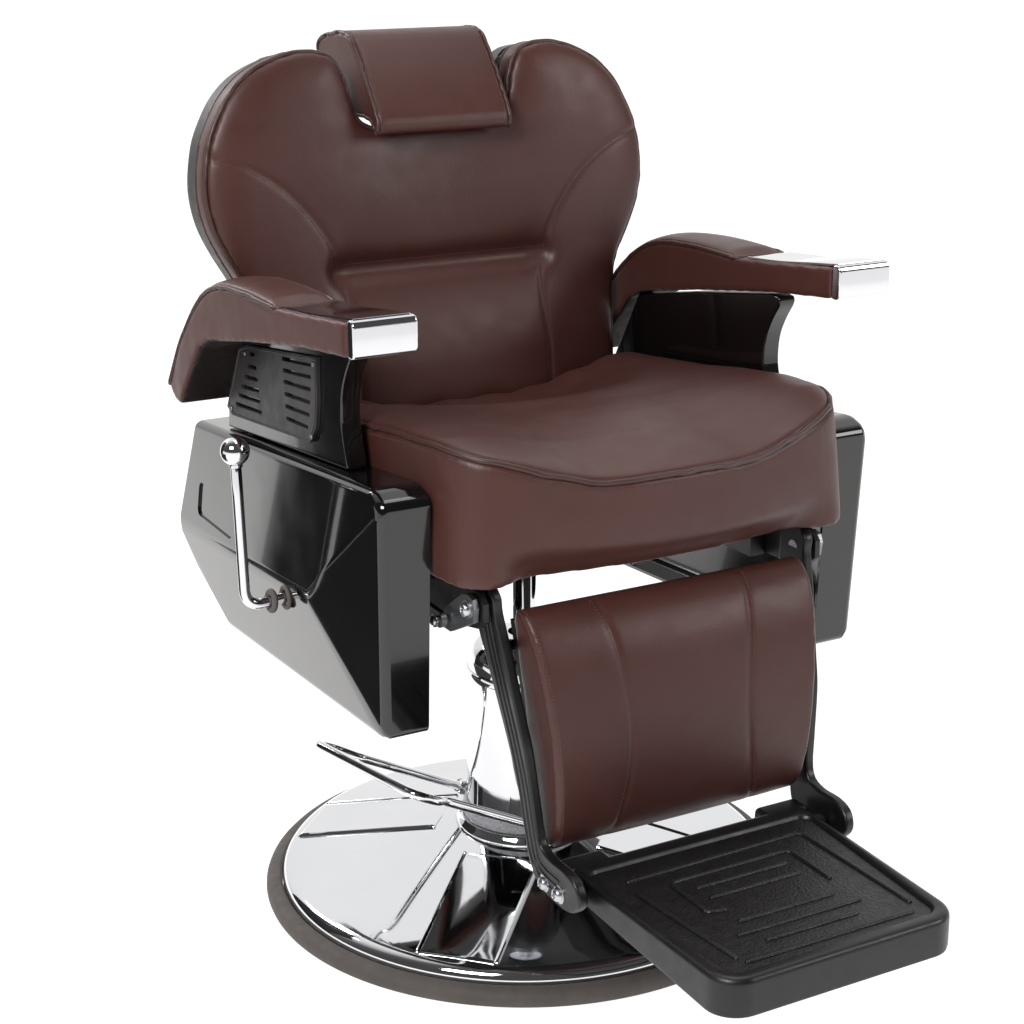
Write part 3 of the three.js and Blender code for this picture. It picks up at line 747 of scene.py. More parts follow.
def make_back_cushion():
    outline = back_outline()
    made = prism("back_cushion_soft", outline, "y", 0.0, BACK_DEPTH, "leather")
    remesh(made, 0.006)
    co = points_of(made)
    flat = co * (1, 0, 1)
    edge = np.column_stack([outline[:, 0], np.zeros(len(outline)), outline[:, 1]])
    ring = np.vstack([edge, edge[:1]])
    inside, _ = nearest_distance(flat, denser(ring, 5), 0.30)
    share = np.clip(co[:, 1] / BACK_DEPTH, 0, 1)
    co[:, 1] -= (1 - share) * back_front(co[:, 0], co[:, 2], inside)
    set_points(made, from_back_plane(co))

    co = points_of(made)
    piping = from_back_plane(edge)
    piping = curve_through(piping, 900)
    behind = curve_through(from_back_plane(edge + (0, BACK_DEPTH, 0)), 900)
    seams = {}
    for name, side in SIDES:
        for key, line, count in (
            ("curved", BACK_CURVED_SEAM, 120), ("upright", BACK_UPRIGHT_SEAM, 80),
        ):
            spots = [(side * x, 0, z - BACK_AT[1]) for x, z in line]
            seams[key + name] = curve_through(spots, count)
    seams["waist"] = curve_through([(x, 0, z - BACK_AT[1]) for x, z in BACK_WAIST], 90)

    def on_front(path, tree):
        return settle(from_back_plane(path - (0, 0.03, 0)), tree)[0]

    held = beside(co, piping, 0.006, 0.026, 0.03)
    held = np.maximum(held, beside(co, behind, 0.004, 0.016, 0.02))
    held = np.maximum(held, smoothstep(0.75, 0.95, share) * (inside > 0.01))
    plain = tree_of(made)
    for key, path in seams.items():
        reach = 0.034 if key == "waist" else 0.014
        held = np.maximum(held, beside(co, on_front(path, plain), 0.003, reach, 0.04))
    inflate(made, 0.013, held)
    refine(made)

    tree = tree_of(made)
    spots = {key: on_front(path, tree) for key, path in seams.items()}
    crease(made, spots["waist"], 0.0085, 0.014)
    crease(made, spots["waist"], 0.0045, 0.0035)
    for key, path in spots.items():
        if key != "waist":
            crease(made, path, 0.0014, 0.0055)
            crease(made, path, 0.0024, 0.0019)
    crease(made, piping, 0.003, 0.0042)
    crease(made, behind, 0.003, 0.0042)

    tree = tree_of(made)
    pipe("back_piping", piping, tree, 0.0016, 800, 0.0031, "back", closed=True)
    pipe("back_rear_piping", behind, tree, 0.0014, 800, 0.0028, "back", closed=True)
    rows = []
    for key, path in spots.items():
        side = np.cross(directions(path), (0, -1, 0))
        if key == "waist":
            rows.append(path - side * 0.0045)
        elif key.startswith("curved"):
            outward = side * np.sign(path[:, :1].mean()) * np.sign(side[:, :1].mean())
            rows.append(path[6:] + outward[6:] * 0.004)
        else:
            rows += [path + side * 0.0038, path - side * 0.0038]
    stitches("back_stitches", rows, tree, "back")
    place(made, "back", "leather", "back_cushion")


# ---- headrest ----
HEAD_SIDE = (
    (0.196, 0.950), (0.1900, 0.937), (0.1905, 0.9255), (0.1960, 0.9215), (0.2015, 0.926),
    (0.212, 0.9370), (0.226, 0.9400), (0.298, 0.941), (0.320, 0.951), (0.350, 0.987),
    (0.366, 1.011), (0.365, 1.024), (0.345, 1.035), (0.300, 1.041), (0.270, 1.038), (0.253, 1.025),
    (0.226, 0.993),
)
HEAD_HALF = 0.092


def make_headrest():
    ring = curve_through(HEAD_SIDE, 120, closed=True)
    made = prism("headrest_soft", ring, "x", -HEAD_HALF, HEAD_HALF, "leather")
    remesh(made, 0.004)
    co = points_of(made)
    ends = [np.column_stack([np.full(len(ring), s * HEAD_HALF), ring]) for s in (-1, 1)]
    ends = [curve_through(end, 400, closed=True) for end in ends]
    held = np.zeros(len(co))
    for end in ends:
        held = np.maximum(held, beside(co, end, 0.004, 0.022, 0.03))
    held = np.maximum(held, smoothstep(0.946, 0.940, co[:, 2]))
    held = np.maximum(held, 0.55 * smoothstep(1.0, 1.03, co[:, 2]))
    inflate(made, 0.007, held)
    refine(made)
    for end in ends:
        crease(made, end, 0.003, 0.004)
    tree = tree_of(made)
    for (name, _), end in zip(reversed(SIDES), ends):
        pipe("headrest_piping_" + name, end, tree, 0.0014, 300, 0.0026, "headrest", closed=True)
    rows = [np.vstack([end, end[:1]]) - (side * 0.0075, 0, 0) for side, end in zip((-1, 1), ends)]
    stitches("headrest_stitches", rows, tree, "headrest")
    place(made, "headrest", "leather", "headrest_pad")


# ---- hard pieces: shared shapes ----
def moved(made, matrix):
    set_points(made, points_of(made) @ np.array(matrix.to_3x3()).T + np.array(matrix.translation))
    finish_mesh(made, SHARP)
    return made


def turned(name, profile, look, at, axis, segments=48, sharp=35):
    """A lathed (r, height) profile standing on a point, along an axis."""
    made = lathe(name, profile, look, segments, sharp)
    turn = Vector((0, 0, 1)).rotation_difference(Vector(axis)).to_matrix().to_4x4()
    return moved(made, Matrix.Translation(Vector(at)) @ turn)


def bent(points, radius, steps=8):
    """A polyline whose inner corners are rounded."""
    p = [np.array(q, float) for q in points]
    out = [p[0]]
    for before, corner, after in zip(p[:-2], p[1:-1], p[2:]):
        back, on = before - corner, after - corner
        reach = min(radius, 0.45 * np.linalg.norm(back), 0.45 * np.linalg.norm(on))
        a = corner + back / np.linalg.norm(back) * reach
        b = corner + on / np.linalg.norm(on) * reach
        for t in np.linspace(0, 1, steps):
            out.append((1 - t) ** 2 * a + 2 * t * (1 - t) * corner + t * t * b)
    out.append(p[-1])
    even = np.vstack([denser(out, 4), out[-1]])
    keep = np.concatenate([[True], np.linalg.norm(np.diff(even, axis=0), axis=1) > 1e-6])
    return even[keep]


def bore(radius, reach, at, axis):
    """A round cutter, reach to both sides of a point."""
    profile = [(0, -reach), (radius, -reach), (radius, reach), (0, reach)]
    return turned("bore", profile, "steel", at, axis, 32)


def bead_profile(middle, thick, high, count):
    """The round section of a rubber ring."""
    angles = np.linspace(0, 2 * math.pi, count)[:-1]
    return [(middle + thick * math.cos(a), high * math.sin(a)) for a in angles]


def bolt_head(name, at, axis, radius, height=0.5):
    """A domed head on a thin washer, with a round recess for the key."""
    r, h = radius, radius * height
    profile = [
        (0, -0.0006), (r * 1.35, -0.0006), (r * 1.35, 0.0006), (r * 1.02, 0.0010), (r, 0.0018),
        (r * 0.93, h * 0.75), (r * 0.74, h * 1.05), (r * 0.45, h * 1.2), (r * 0.40, h * 1.1),
        (r * 0.38, h * 0.55), (0, h * 0.5),
    ]
    return turned(name, profile, "zinc", at, axis, 32)


def screw_head(name, at, axis, radius):
    r = radius
    profile = [
        (0, -0.0005), (r, -0.0005), (r, 0.0004), (r * 0.8, 0.0012), (r * 0.4, 0.0014),
        (r * 0.32, 0.0006), (0, 0.0005),
    ]
    return turned(name, profile, "steel", at, axis, 24)


def carve(made, cutters):
    """Cuts the cutters out of a mesh and removes them."""
    for cutter in cutters:
        modifier(made, "BOOLEAN", object=cutter, operation="DIFFERENCE", solver="EXACT")
        apply_modifiers(made)
        bpy.data.objects.remove(cutter)
    made.data.set_sharp_from_angle(angle=math.radians(SHARP))


def mirrored(side, points):
    return [(side * x, y, z) for x, y, z in points]


# ---- base and pump ----
DOME_RIM = (0.300, 0.035)  # radius and height where the cone ends
DOME_SLOPE = 0.205
SPOKE_SECTION = (
    (-0.0515, -0.0015), (-0.0503, 0.0006), (-0.0494, 0.0029), (-0.0478, 0.0038), (-0.0462, 0.0031),
    (-0.0450, 0.0015), (-0.0440, 0.0012), (-0.0220, 0.0012), (0.0, 0.0012),
)


def dome_height(r):
    return DOME_RIM[1] + (DOME_RIM[0] - r) * DOME_SLOPE


def make_spoke(angle):
    """A flat bar with a bead along each edge, lying on the cone."""
    section = list(SPOKE_SECTION) + [(-t, h) for t, h in SPOKE_SECTION[-2::-1]]
    stations = [0.1035, 0.1050, 0.1065, *np.linspace(0.11, 0.286, 16), 0.2895, 0.2915, 0.2925]
    ends = [0, 0.6, 0.95, *[1] * 16, 0.95, 0.6, 0]
    vertices = []
    for u, share in zip(stations, ends):
        for t, h in section:
            raised = (h + 0.0015) * share - 0.0015
            vertices.append((u, t, dome_height(math.hypot(u, t)) + raised))
        vertices.append((u, 0, dome_height(u) - 0.0025))
    ring = len(section) + 1
    faces = skin(len(stations), ring)
    last = (len(stations) - 1) * ring
    faces += [tuple(range(ring)), tuple(last + k for k in reversed(range(ring)))]
    made = mesh_object("spoke", vertices, faces, "chrome")
    return moved(made, Matrix.Rotation(math.radians(angle), 4, "Z"))


DOME_EDGE = (
    (0.298, 0.0348), (0.302, 0.0330), (0.3055, 0.0300), (0.308, 0.0262), (0.309, 0.0220),
    (0.309, 0.009), (0.3065, 0.009), (0.3065, 0.0215), (0.303, 0.0285), (0.297, 0.0325),
    (0.062, dome_height(0.062) - 0.003),
)
TYRE = (
    (0.3102, 0.0004), (0.3260, 0.0004), (0.3287, 0.0022), (0.3300, 0.0060), (0.3297, 0.0105),
    (0.3280, 0.0150), (0.3245, 0.0186), (0.3190, 0.0207), (0.3130, 0.0210), (0.3102, 0.0190),
)
COLLAR = (
    (0.0632, dome_height(0.063) + 0.0004), (0.0885, dome_height(0.0885) + 0.0004), (0.0885, 0.0810),
    (0.0872, 0.0850), (0.0845, 0.0880), (0.0830, 0.0915), (0.0632, 0.0920),
)
PUMP_SEAL = (
    (0.0734, 0.0925), (0.0790, 0.0925), (0.0797, 0.0950), (0.0785, 0.1040), (0.0765, 0.1075),
    (0.0734, 0.1080),
)
PUMP_WALL = (
    (0.0690, 0.0926), (0.0730, 0.0926), (0.0730, 0.2780), (0.0727, 0.2830), (0.0716, 0.2870),
    (0.0700, 0.2880), (0.0680, 0.2880), (0.0680, 0.0926),
)
PUMP_CAP = (
    (0.0202, 0.3255), (0.0202, 0.3310), (0.0300, 0.3310), (0.0420, 0.3290), (0.0530, 0.3245),
    (0.0610, 0.3180), (0.0660, 0.3090), (0.0690, 0.2990), (0.0700, 0.2886), (0.0660, 0.2886),
    (0.0640, 0.3010), (0.0580, 0.3150), (0.0400, 0.3250),
)
PISTON = ((0, 0.1902), (0.0150, 0.1902), (0.0150, 0.4500), (0.0142, 0.4518), (0, 0.4518))


def make_base():
    top = [(r, dome_height(r)) for r in np.linspace(0.062, 0.293, 12)]
    dome = lathe("dome", [*top, *DOME_EDGE], "chrome", 192)
    dome = join_objects("base_dome_plated", [dome, *[make_spoke(a) for a in (45, 135, 225, 315)]])
    place(dome, "base", "chrome", "base_dome")
    for name, profile, look, segments, body, slot, *nodes in (
        ("base_tyre", TYRE, "rubber", 192, "base", "rubber", "base_rubber_ring"),
        ("collar_plated", COLLAR, "chrome", 128, "base", "chrome", "base_collar"),
        ("pump_seal", PUMP_SEAL, "seal", 128, "base", "rubber"),
        ("pump_tube_plated", PUMP_WALL, "chrome", 128, "base", "chrome", "pump_cover"),
        ("pump_cap_plated", PUMP_CAP, "chrome", 128, "base", "chrome", "pump_cap"),
        ("piston_plated", PISTON, "chrome", 64, "lift", "chrome", "piston_rod"),
    ):
        place(lathe(name, profile, look, segments), body, slot, *nodes)


# ---- foot pedal ----
PEDAL_PATH = (
    (0.009, 0.081, 0), (0.185, 0.081, 0), (0.207, 0.098, 0), (0.245, 0.098, 0), (0.245, -0.098, 0),
    (0.207, -0.098, 0), (0.185, -0.081, 0), (0.009, -0.081, 0),
)


PEDAL_HEADING, PEDAL_RISE = math.radians(192), math.radians(29)
PEDAL_PIVOT = (0.036, 0.103)  # distance from the pump's axis, and height
EYE = (
    (0.0047, -0.0045), (0.0085, -0.0045), (0.0095, -0.0034), (0.0095, 0.0034), (0.0085, 0.0045),
    (0.0047, 0.0045),
)


def make_pedal():
    reach, height = PEDAL_PIVOT
    at = Vector((reach * math.cos(PEDAL_HEADING), reach * math.sin(PEDAL_HEADING), height))
    turn = Matrix.Rotation(PEDAL_HEADING, 4, "Z") @ Matrix.Rotation(-PEDAL_RISE, 4, "Y")
    pose = Matrix.Translation(at) @ turn
    loop = tube("loop", bent(PEDAL_PATH, 0.016), 0.0055, "chrome", sides=20)
    eyes = [turned("eye", EYE, "chrome", (0, s * 0.081, 0), (0, 1, 0), 40) for s in (1, -1)]
    made = join_objects("pedal_loop_plated", [loop, *eyes])
    place(moved(made, pose), "pedal", "chrome", "pedal_loop")
    for name, side in (("rear", -1), ("front", 1)):
        head = bolt_head("pedal_bolt_" + name, (0, side * 0.0872, 0), (0, side, 0), 0.0068)
        place(moved(head, pose), "base", "zinc")


# ---- recline lever ----
LEVER_PATH = ((-0.285, -0.030, 0.445), (-0.372, -0.026, 0.437), (-0.372, -0.017, 0.604))
BALL_AT = (-0.372, -0.017, 0.617)
BALL_RADIUS = 0.0164


def make_lever():
    path = bent(LEVER_PATH, 0.022, 12)
    bar = tube("lever_bar_plated", path, 0.0062, "chrome", sides=24)
    place(bar, "recline_lever", "chrome", "lever_rod")
    turns = [math.radians(angle) for angle in np.linspace(-66, 90, 26)]
    ball = [(BALL_RADIUS * math.cos(a), BALL_RADIUS * math.sin(a)) for a in turns]
    ball += [(0, -0.0120), (0.0064, -0.0185), (0.0075, -0.0175), (0.0075, -0.0155)]
    knob = turned("lever_knob_plated", ball, "chrome", BALL_AT, (0, 0.054, 1), 64, 60)
    place(knob, "recline_lever", "chrome", "lever_ball")
    bead = bead_profile(0.0103, 0.0038, 0.0035, 20)
    place(turned("lever_stop", bead, "rubber", (-0.3415, -0.0276, 0.4401), (1, 0.045, -0.09)),
          "recline_lever", "rubber", "lever_ring")
    grommet = bead_profile(0.0116, 0.0027, 0.0027, 16)
    place(turned("lever_grommet", grommet, "rubber", (-0.3245, -0.0282, 0.4415), (1, 0, 0)),
          "seat", "rubber")


# ---- side boxes ----
BOX_CORNERS = (
    (0.302, 0.311, 0.570), (0.311, -0.235, 0.619), (0.313, -0.262, 0.608), (0.308, -0.248, 0.343),
    (0.303, 0.207, 0.321), (0.310, 0.309, 0.380), (0.318, 0.351, 0.429), (0.326, -0.094, 0.461),
)
BOX_INNER = 0.255
BOX_SCREW = (0.097, 0.446)  # y and z
RECESS_DEPTH = 0.0026
LEVER_AT = (-0.31, -0.028, 0.441)


def hull(name, points, look):
    bm = bmesh.new()
    for p in points:
        bm.verts.new(p)
    made = bmesh.ops.convex_hull(bm, input=bm.verts)
    loose = [v for v in made["geom_interior"] if isinstance(v, bmesh.types.BMVert)]
    bmesh.ops.delete(bm, geom=loose, context="VERTS")
    bmesh.ops.dissolve_limit(bm, angle_limit=math.radians(1.5), verts=bm.verts, edges=bm.edges)
    mesh = bpy.data.meshes.new(name)
    bm.to_mesh(mesh)
    bm.free()
    obj = bpy.data.objects.new(name, mesh)
    scene.collection.objects.link(obj)
    mesh.materials.append(LOOK[look])
    finish_mesh(obj)
    return obj


def open_side(made, inside):
    """Removes the faces whose points all lie on the side that stays open."""
    def clear(bm):
        gone = [f for f in bm.faces if all(inside(v.co) for v in f.verts)]
        bmesh.ops.delete(bm, geom=gone, context="FACES")

    edit(made, clear)


def rounded_rectangle(low, high, radius, steps=6):
    (u0, v0), (u1, v1) = low, high
    out = []
    for cu, cv, start in (
        (u1 - radius, v1 - radius, 0), (u0 + radius, v1 - radius, 90),
        (u0 + radius, v0 + radius, 180), (u1 - radius, v0 + radius, 270),
    ):
        for a in np.linspace(start, start + 90, steps):
            turn = math.radians(a)
            out.append((cu + radius * math.cos(turn), cv + radius * math.sin(turn)))
    return out


def surface_x(tree, side, y, z):
    spot, _, _, _ = tree.ray_cast(Vector((side * 0.5, y, z)), Vector((-side, 0, 0)))
    return spot.x if spot else side * 0.3


def make_side_boxes():
    for name, side in SIDES:
        points = mirrored(side, BOX_CORNERS)
        points += [(side * BOX_INNER, y, z) for x, y, z in BOX_CORNERS if y != -0.094]
        made = hull("side_box_moulding_" + name, points, "gloss_black")
        open_side(made, lambda spot: abs(abs(spot.x) - BOX_INNER) < 1e-5)
        rounded(made, 0.0095, 6, 8, None)
        modifier(made, "SOLIDIFY", thickness=0.0038, offset=-1.0)
        apply_modifiers(made)
        finish_mesh(made, SHARP)
        tree = tree_of(made)
        rim = rounded_rectangle((0.150, 0.458), (0.276, 0.500), 0.009)
        deep = [(surface_x(tree, side, y, z) - side * RECESS_DEPTH, y, z) for y, z in rim]
        clear = [(x + side * 0.02, y, z) for x, y, z in deep]
        cutters = [slab("recess", deep, clear, "gloss_black")]
        if side < 0:
            cutters.append(bore(0.0105, 0.05, LEVER_AT, (1, 0, 0)))
        carve(made, cutters)
        rounded(made, 0.0008, 2, 50, 50)
        place(flatten(made), "seat", "gloss_black", "side_box_" + name)
        at = (surface_x(tree, side, *BOX_SCREW), *BOX_SCREW)
        screw = screw_head("side_box_screw_" + name, at, (side, 0, 0.12), 0.0042)
        place(screw, "seat", "steel")


# ---- armrest supports and vents ----
SUPPORT = (
    (0.226, 0.5790), (0.222, 0.605), (0.163, 0.699), (0.028, 0.724), (-0.130, 0.7475),
    (-0.1445, 0.7455),
)
SUPPORT_FRONT = (
    (-0.1455, 0.737), (-0.131, 0.716), (-0.120, 0.693), (-0.117, 0.665), (-0.122, 0.640),
    (-0.127, 0.624), (-0.130, 0.6105),
)
VENT = (
    (-0.067, 0.7225), (-0.0655, 0.674), (-0.060, 0.643), (-0.041, 0.6215), (0.197, 0.6005),
    (0.213, 0.6080), (0.166, 0.689), (0.139, 0.6975),
)
# y and height of both ends of each slot
VENT_ROWS = (
    ((0.028, 0.703), (-0.050, 0.7115)), ((0.027, 0.690), (-0.049, 0.6975)),
    ((0.026, 0.677), (-0.047, 0.683)), ((0.025, 0.663), (-0.044, 0.668)),
    ((0.024, 0.649), (-0.041, 0.653)), ((0.022, 0.635), (-0.036, 0.638)),
    ((0.127, 0.6895), (0.117, 0.6905)), ((0.136, 0.673), (0.112, 0.6755)),
    ((0.148, 0.658), (0.110, 0.662)), ((0.159, 0.644), (0.107, 0.6495)),
    ((0.170, 0.631), (0.105, 0.637)), ((0.181, 0.618), (0.102, 0.6245)),
)


VENT_SCREWS = ((-0.058, 0.7135), (0.199, 0.6085), (-0.046, 0.6290), (0.146, 0.6870))
VENT_FACE = 0.2930


def slot_outline(rear, front, half):
    """A long hole with round ends."""
    rear, front = np.array(rear), np.array(front)
    along = (front - rear) / np.linalg.norm(front - rear)
    heading = math.atan2(along[1], along[0])
    out = []
    for centre, start in ((front, heading - math.pi / 2), (rear, heading + math.pi / 2)):
        for t in np.linspace(0, math.pi, 7):
            a = start + t
            out.append((centre[0] + half * math.cos(a), centre[1] + half * math.sin(a)))
    return out


def make_supports():
    for name, side in SIDES:
        front = curve_through([SUPPORT[-1], *SUPPORT_FRONT], 24)
        outline = [*SUPPORT[:-1], *front]
        post = side_prism("armrest_post_" + name, outline, side, 0.2642, 0.2880, "gloss_black")
        rounded(post, 0.0028, 3, 25)
        place(flatten(post), "seat", "satin_black", "armrest_support_" + name)
        # The vent plate's lighter black is painted light on the plate.
        plate = side_prism("vent_plate_" + name, VENT, side, 0.2884, VENT_FACE, "vent_black")
        cutters = [
            prism("slot", slot_outline(a, b, 0.0024), "x", -0.4, 0.4, "satin_black")
            for a, b in VENT_ROWS
        ]
        carve(plate, [join_objects("slots", cutters)])
        rounded(plate, 0.0011, 2, 40, 45)
        beads = []
        for ends in VENT_ROWS:
            line = [np.array((side * 0.2922, y, z - 0.0036)) for y, z in ends]
            beads.append(tube("bead", np.linspace(*line, 6), 0.0011, "satin_black", sides=8))
        edge = [
            (side * 0.2928, 0.965 * (y - 0.06) + 0.06, 0.955 * (z - 0.66) + 0.66) for y, z in VENT
        ]
        edge = curve_through([*bent([*edge, edge[0]], 0.006, 4)][:-1], 220, closed=True)
        beads.append(tube("edge", edge, 0.0009, "satin_black", closed=True, sides=8))
        louvres = flatten(join_objects("vent_louvres_" + name, [plate, *beads]))
        place(louvres, "seat", "satin_black", "vent_panel_" + name)
        heads = [
            screw_head("head", (side * (VENT_FACE + 0.0001), y, z), (side, 0, 0), 0.0032)
            for y, z in VENT_SCREWS
        ]
        place(join_objects("vent_screws_" + name, heads), "seat", "steel")


# ---- arm pads ----
PAD_TOP = (
    (0.309, 0.622), (0.285, 0.650), (0.250, 0.688), (0.200, 0.733), (0.165, 0.757), (0.138, 0.769),
    (0.110, 0.776), (0.070, 0.780), (0.021, 0.7815), (-0.030, 0.7805), (-0.060, 0.7800),
)
PAD_FRONT = ((-0.120, 0.7845), (-0.180, 0.7905), (-0.2438, 0.7965))
PAD_UNDER = (
    (-0.2438, 0.7605), (-0.130, 0.7495), (0.028, 0.7265), (0.150, 0.7045), (0.180, 0.691),
    (0.215, 0.655), (0.258, 0.608), (0.268, 0.604), (0.285, 0.606), (0.302, 0.613),
)
PAD_INNER, PAD_OUTER = 0.2605, 0.3365


def make_arm_pads():
    middle = (PAD_INNER + PAD_OUTER) / 2
    half = (PAD_OUTER - PAD_INNER) / 2
    for name, side in SIDES:
        top = curve_through(PAD_TOP, 60)
        outline = [*top, *PAD_FRONT, *PAD_UNDER]
        made = side_prism("armrest_soft_" + name, outline, side, PAD_INNER, PAD_OUTER, "leather")
        remesh(made, 0.0038)
        co = points_of(made)
        path = np.array([(0, y, z) for y, z in curve_through(PAD_TOP, 400)])
        upper = beside(co * (0, 1, 1), path, 0.001, 0.006, 0.012)
        across = np.clip(1 - ((np.abs(co[:, 0]) - middle) / half) ** 2, 0, 1) ** 0.7
        nose = smoothstep(-0.060, -0.036, co[:, 1])
        low_end = 1 - 0.6 * smoothstep(0.25, 0.31, co[:, 1])
        lift = 0.008 * upper * across * nose * low_end
        up = normals_of(made) * (0, 1, 1)
        up /= np.maximum(np.linalg.norm(up, axis=1), 1e-6)[:, None]
        co = co + up * lift[:, None]
        inner_cut = smoothstep(0.245, 0.31, co[:, 1]) * 0.004
        co[:, 0] -= side * inner_cut * (np.abs(co[:, 0]) > middle)
        set_points(made, co)
        outer = [(side * (PAD_OUTER - 0.001), y, z) for y, z in PAD_TOP]
        inner = [(side * (PAD_INNER + 0.001), y, z) for y, z in PAD_TOP]
        rim = bent([*outer, *inner[::-1]], 0.012, 6)
        rim = curve_through(rim[::2], 520)
        held = beside(co, rim, 0.004, 0.016, 0.02)
        held = np.maximum(held, 1 - smoothstep(-0.060, -0.045, co[:, 1]))
        held = np.maximum(held, 1 - smoothstep(0.001, 0.005, np.abs(np.abs(co[:, 0]) - PAD_INNER)))
        held = np.maximum(held, 1 - upper * 0.9 - 0.35 * (np.abs(co[:, 0]) > PAD_OUTER - 0.002))
        inflate(made, 0.0055, np.clip(held, 0, 1))
        refine(made)
        crease(made, rim, 0.0024, 0.0036)
        # The pad's downward faces at the rear take the darker leather: painted shade under the pad.
        made.data.materials.append(LOOK["lining"])
        for face in made.data.polygons:
            if face.normal.z < -0.45 and face.center.y > 0.12:
                face.material_index = 1
        tree = tree_of(made)
        pipe("armrest_piping_" + name, rim, tree, 0.0013, 460, 0.0027, "seat")
        rows = []
        for x in (PAD_OUTER - 0.0085, PAD_INNER + 0.0085):
            rows.append(np.array([(side * x, y, z + 0.01) for y, z in PAD_TOP[1:-1]]))
        rows.append(np.array([(side * PAD_OUTER, y + 0.004, z - 0.008) for y, z in PAD_TOP[2:-1]]))
        stitches("armrest_stitches_" + name, rows, tree, "seat")
        place(made, "seat", "leather", "armrest_pad_" + name)
        make_arm_cap(name, side)


CAP_FRONT = (
    (-0.2442, 0.7985), (-0.2500, 0.8000), (-0.2555, 0.7985), (-0.2590, 0.7935), (-0.2590, 0.7670),
    (-0.2555, 0.7615), (-0.2500, 0.7600), (-0.2442, 0.7605),
)
CAP_STRAP = ((-0.2500, 0.8010), (-0.200, 0.7955), (-0.140, 0.7885), (-0.076, 0.7838))


def make_arm_cap(name, side):
    front = side_prism("front", CAP_FRONT, side, 0.2625, 0.3345, "chrome")
    rounded(front, 0.0026, 3, 50)
    over = curve_through(CAP_STRAP, 24)
    under = [(y, z - 0.0030) for y, z in over[::-1]]
    strap = side_prism("strap", [*over, *under], side, 0.2665, 0.3305, "chrome")
    rounded(strap, 0.0011, 2, 50)
    trim = flatten(join_objects("armrest_trim_" + name, [front, strap]))
    place(trim, "seat", "chrome", "armrest_cap_" + name)


# ---- rear shell of the back ----
SHELL_FRONT, SHELL_REAR = 0.0436, 0.0775
POST_X, POST_DEPTH = 0.045, 0.060  # the headrest posts, in the back's own plane
FERRULE = ((0.0060, -0.001), (0.0095, -0.001), (0.0095, 0.0015), (0.0085, 0.0028), (0.0060, 0.0030))


def make_back_shell():
    ring = back_outline(90)
    inward = np.where(np.abs(ring[:, 0]) > 0.2, np.sign(ring[:, 0]) * 0.004, 0)
    ring = np.column_stack([ring[:, 0] - inward, ring[:, 1] * 0.985])
    made = prism("back_panel", ring, "y", SHELL_FRONT, SHELL_REAR, "satin_black")
    open_side(made, lambda spot: abs(spot.y - SHELL_FRONT) < 1e-5)
    rounded(made, 0.012, 6, 45, None)
    modifier(made, "SOLIDIFY", thickness=0.0032, offset=-1.0)
    apply_modifiers(made)
    finish_mesh(made, 40)
    carve(made, [bore(0.0062, 0.06, (x, POST_DEPTH, 0.010), (0, 0, 1)) for x in (POST_X, -POST_X)])
    set_points(made, from_back_plane(points_of(made)))
    finish_mesh(made, 40)
    place(flatten(made), "back", "satin_black", "back_shell")
    tree = tree_of(made)
    rings = []
    for x in (POST_X, -POST_X):
        at = from_back_plane(np.array([(x, POST_DEPTH, 0.0165)]))[0]
        rings.append(turned("ring", FERRULE, "chrome", at, (0, 0.105, 0.994), 40))
    place(join_objects("headrest_ferrules", rings), "back", "chrome")
    heads = []
    for x, up in ((0.20, 0.02), (0.24, -0.10), (0.20, -0.22), (0.20, -0.32)):
        for s in (1, -1):
            at = from_back_plane(np.array([(s * x, 0.090, up)]))[0]
            spot, normal, _, _ = tree.find_nearest(Vector(at))
            heads.append(screw_head("head", spot, normal, 0.0045))
    place(join_objects("back_panel_screws", heads), "back", "steel")


# ---- leg rest ----
ARM_OUTLINE = (
    (-0.257, 0.480), (-0.257, 0.500), (-0.269, 0.513), (-0.288, 0.516), (-0.303, 0.503),
    (-0.3035, 0.486), (-0.314, 0.450), (-0.324, 0.413), (-0.334, 0.375), (-0.343, 0.339),
    (-0.348, 0.285), (-0.351, 0.252), (-0.358, 0.2365), (-0.376, 0.2305), (-0.404, 0.2300),
    (-0.423, 0.2245), (-0.432, 0.212), (-0.431, 0.199), (-0.414, 0.1845), (-0.390, 0.1795),
    (-0.355, 0.1825), (-0.337, 0.193), (-0.326, 0.214), (-0.322, 0.250), (-0.318, 0.285),
    (-0.308, 0.328), (-0.289, 0.383), (-0.270, 0.434), (-0.260, 0.461),
)
ARM_CENTRE = (
    (-0.281, 0.497), (-0.289, 0.450), (-0.305, 0.400), (-0.320, 0.350), (-0.331, 0.300),
    (-0.336, 0.250), (-0.343, 0.216), (-0.362, 0.206), (-0.392, 0.204),
)
ARM_LEAN = math.tan(math.radians(5.4))
ARM_TOP_X = 0.199  # middle of the arm's thickness at the pivot height
LEG_PIVOT = (-0.282, 0.489)  # y and z
FOOT_PIVOT = (-0.391, 0.197)
CRANK_STUD = (-0.232, 0.463)


def arm_x(z):
    return ARM_TOP_X - (LEG_PIVOT[1] - z) * ARM_LEAN


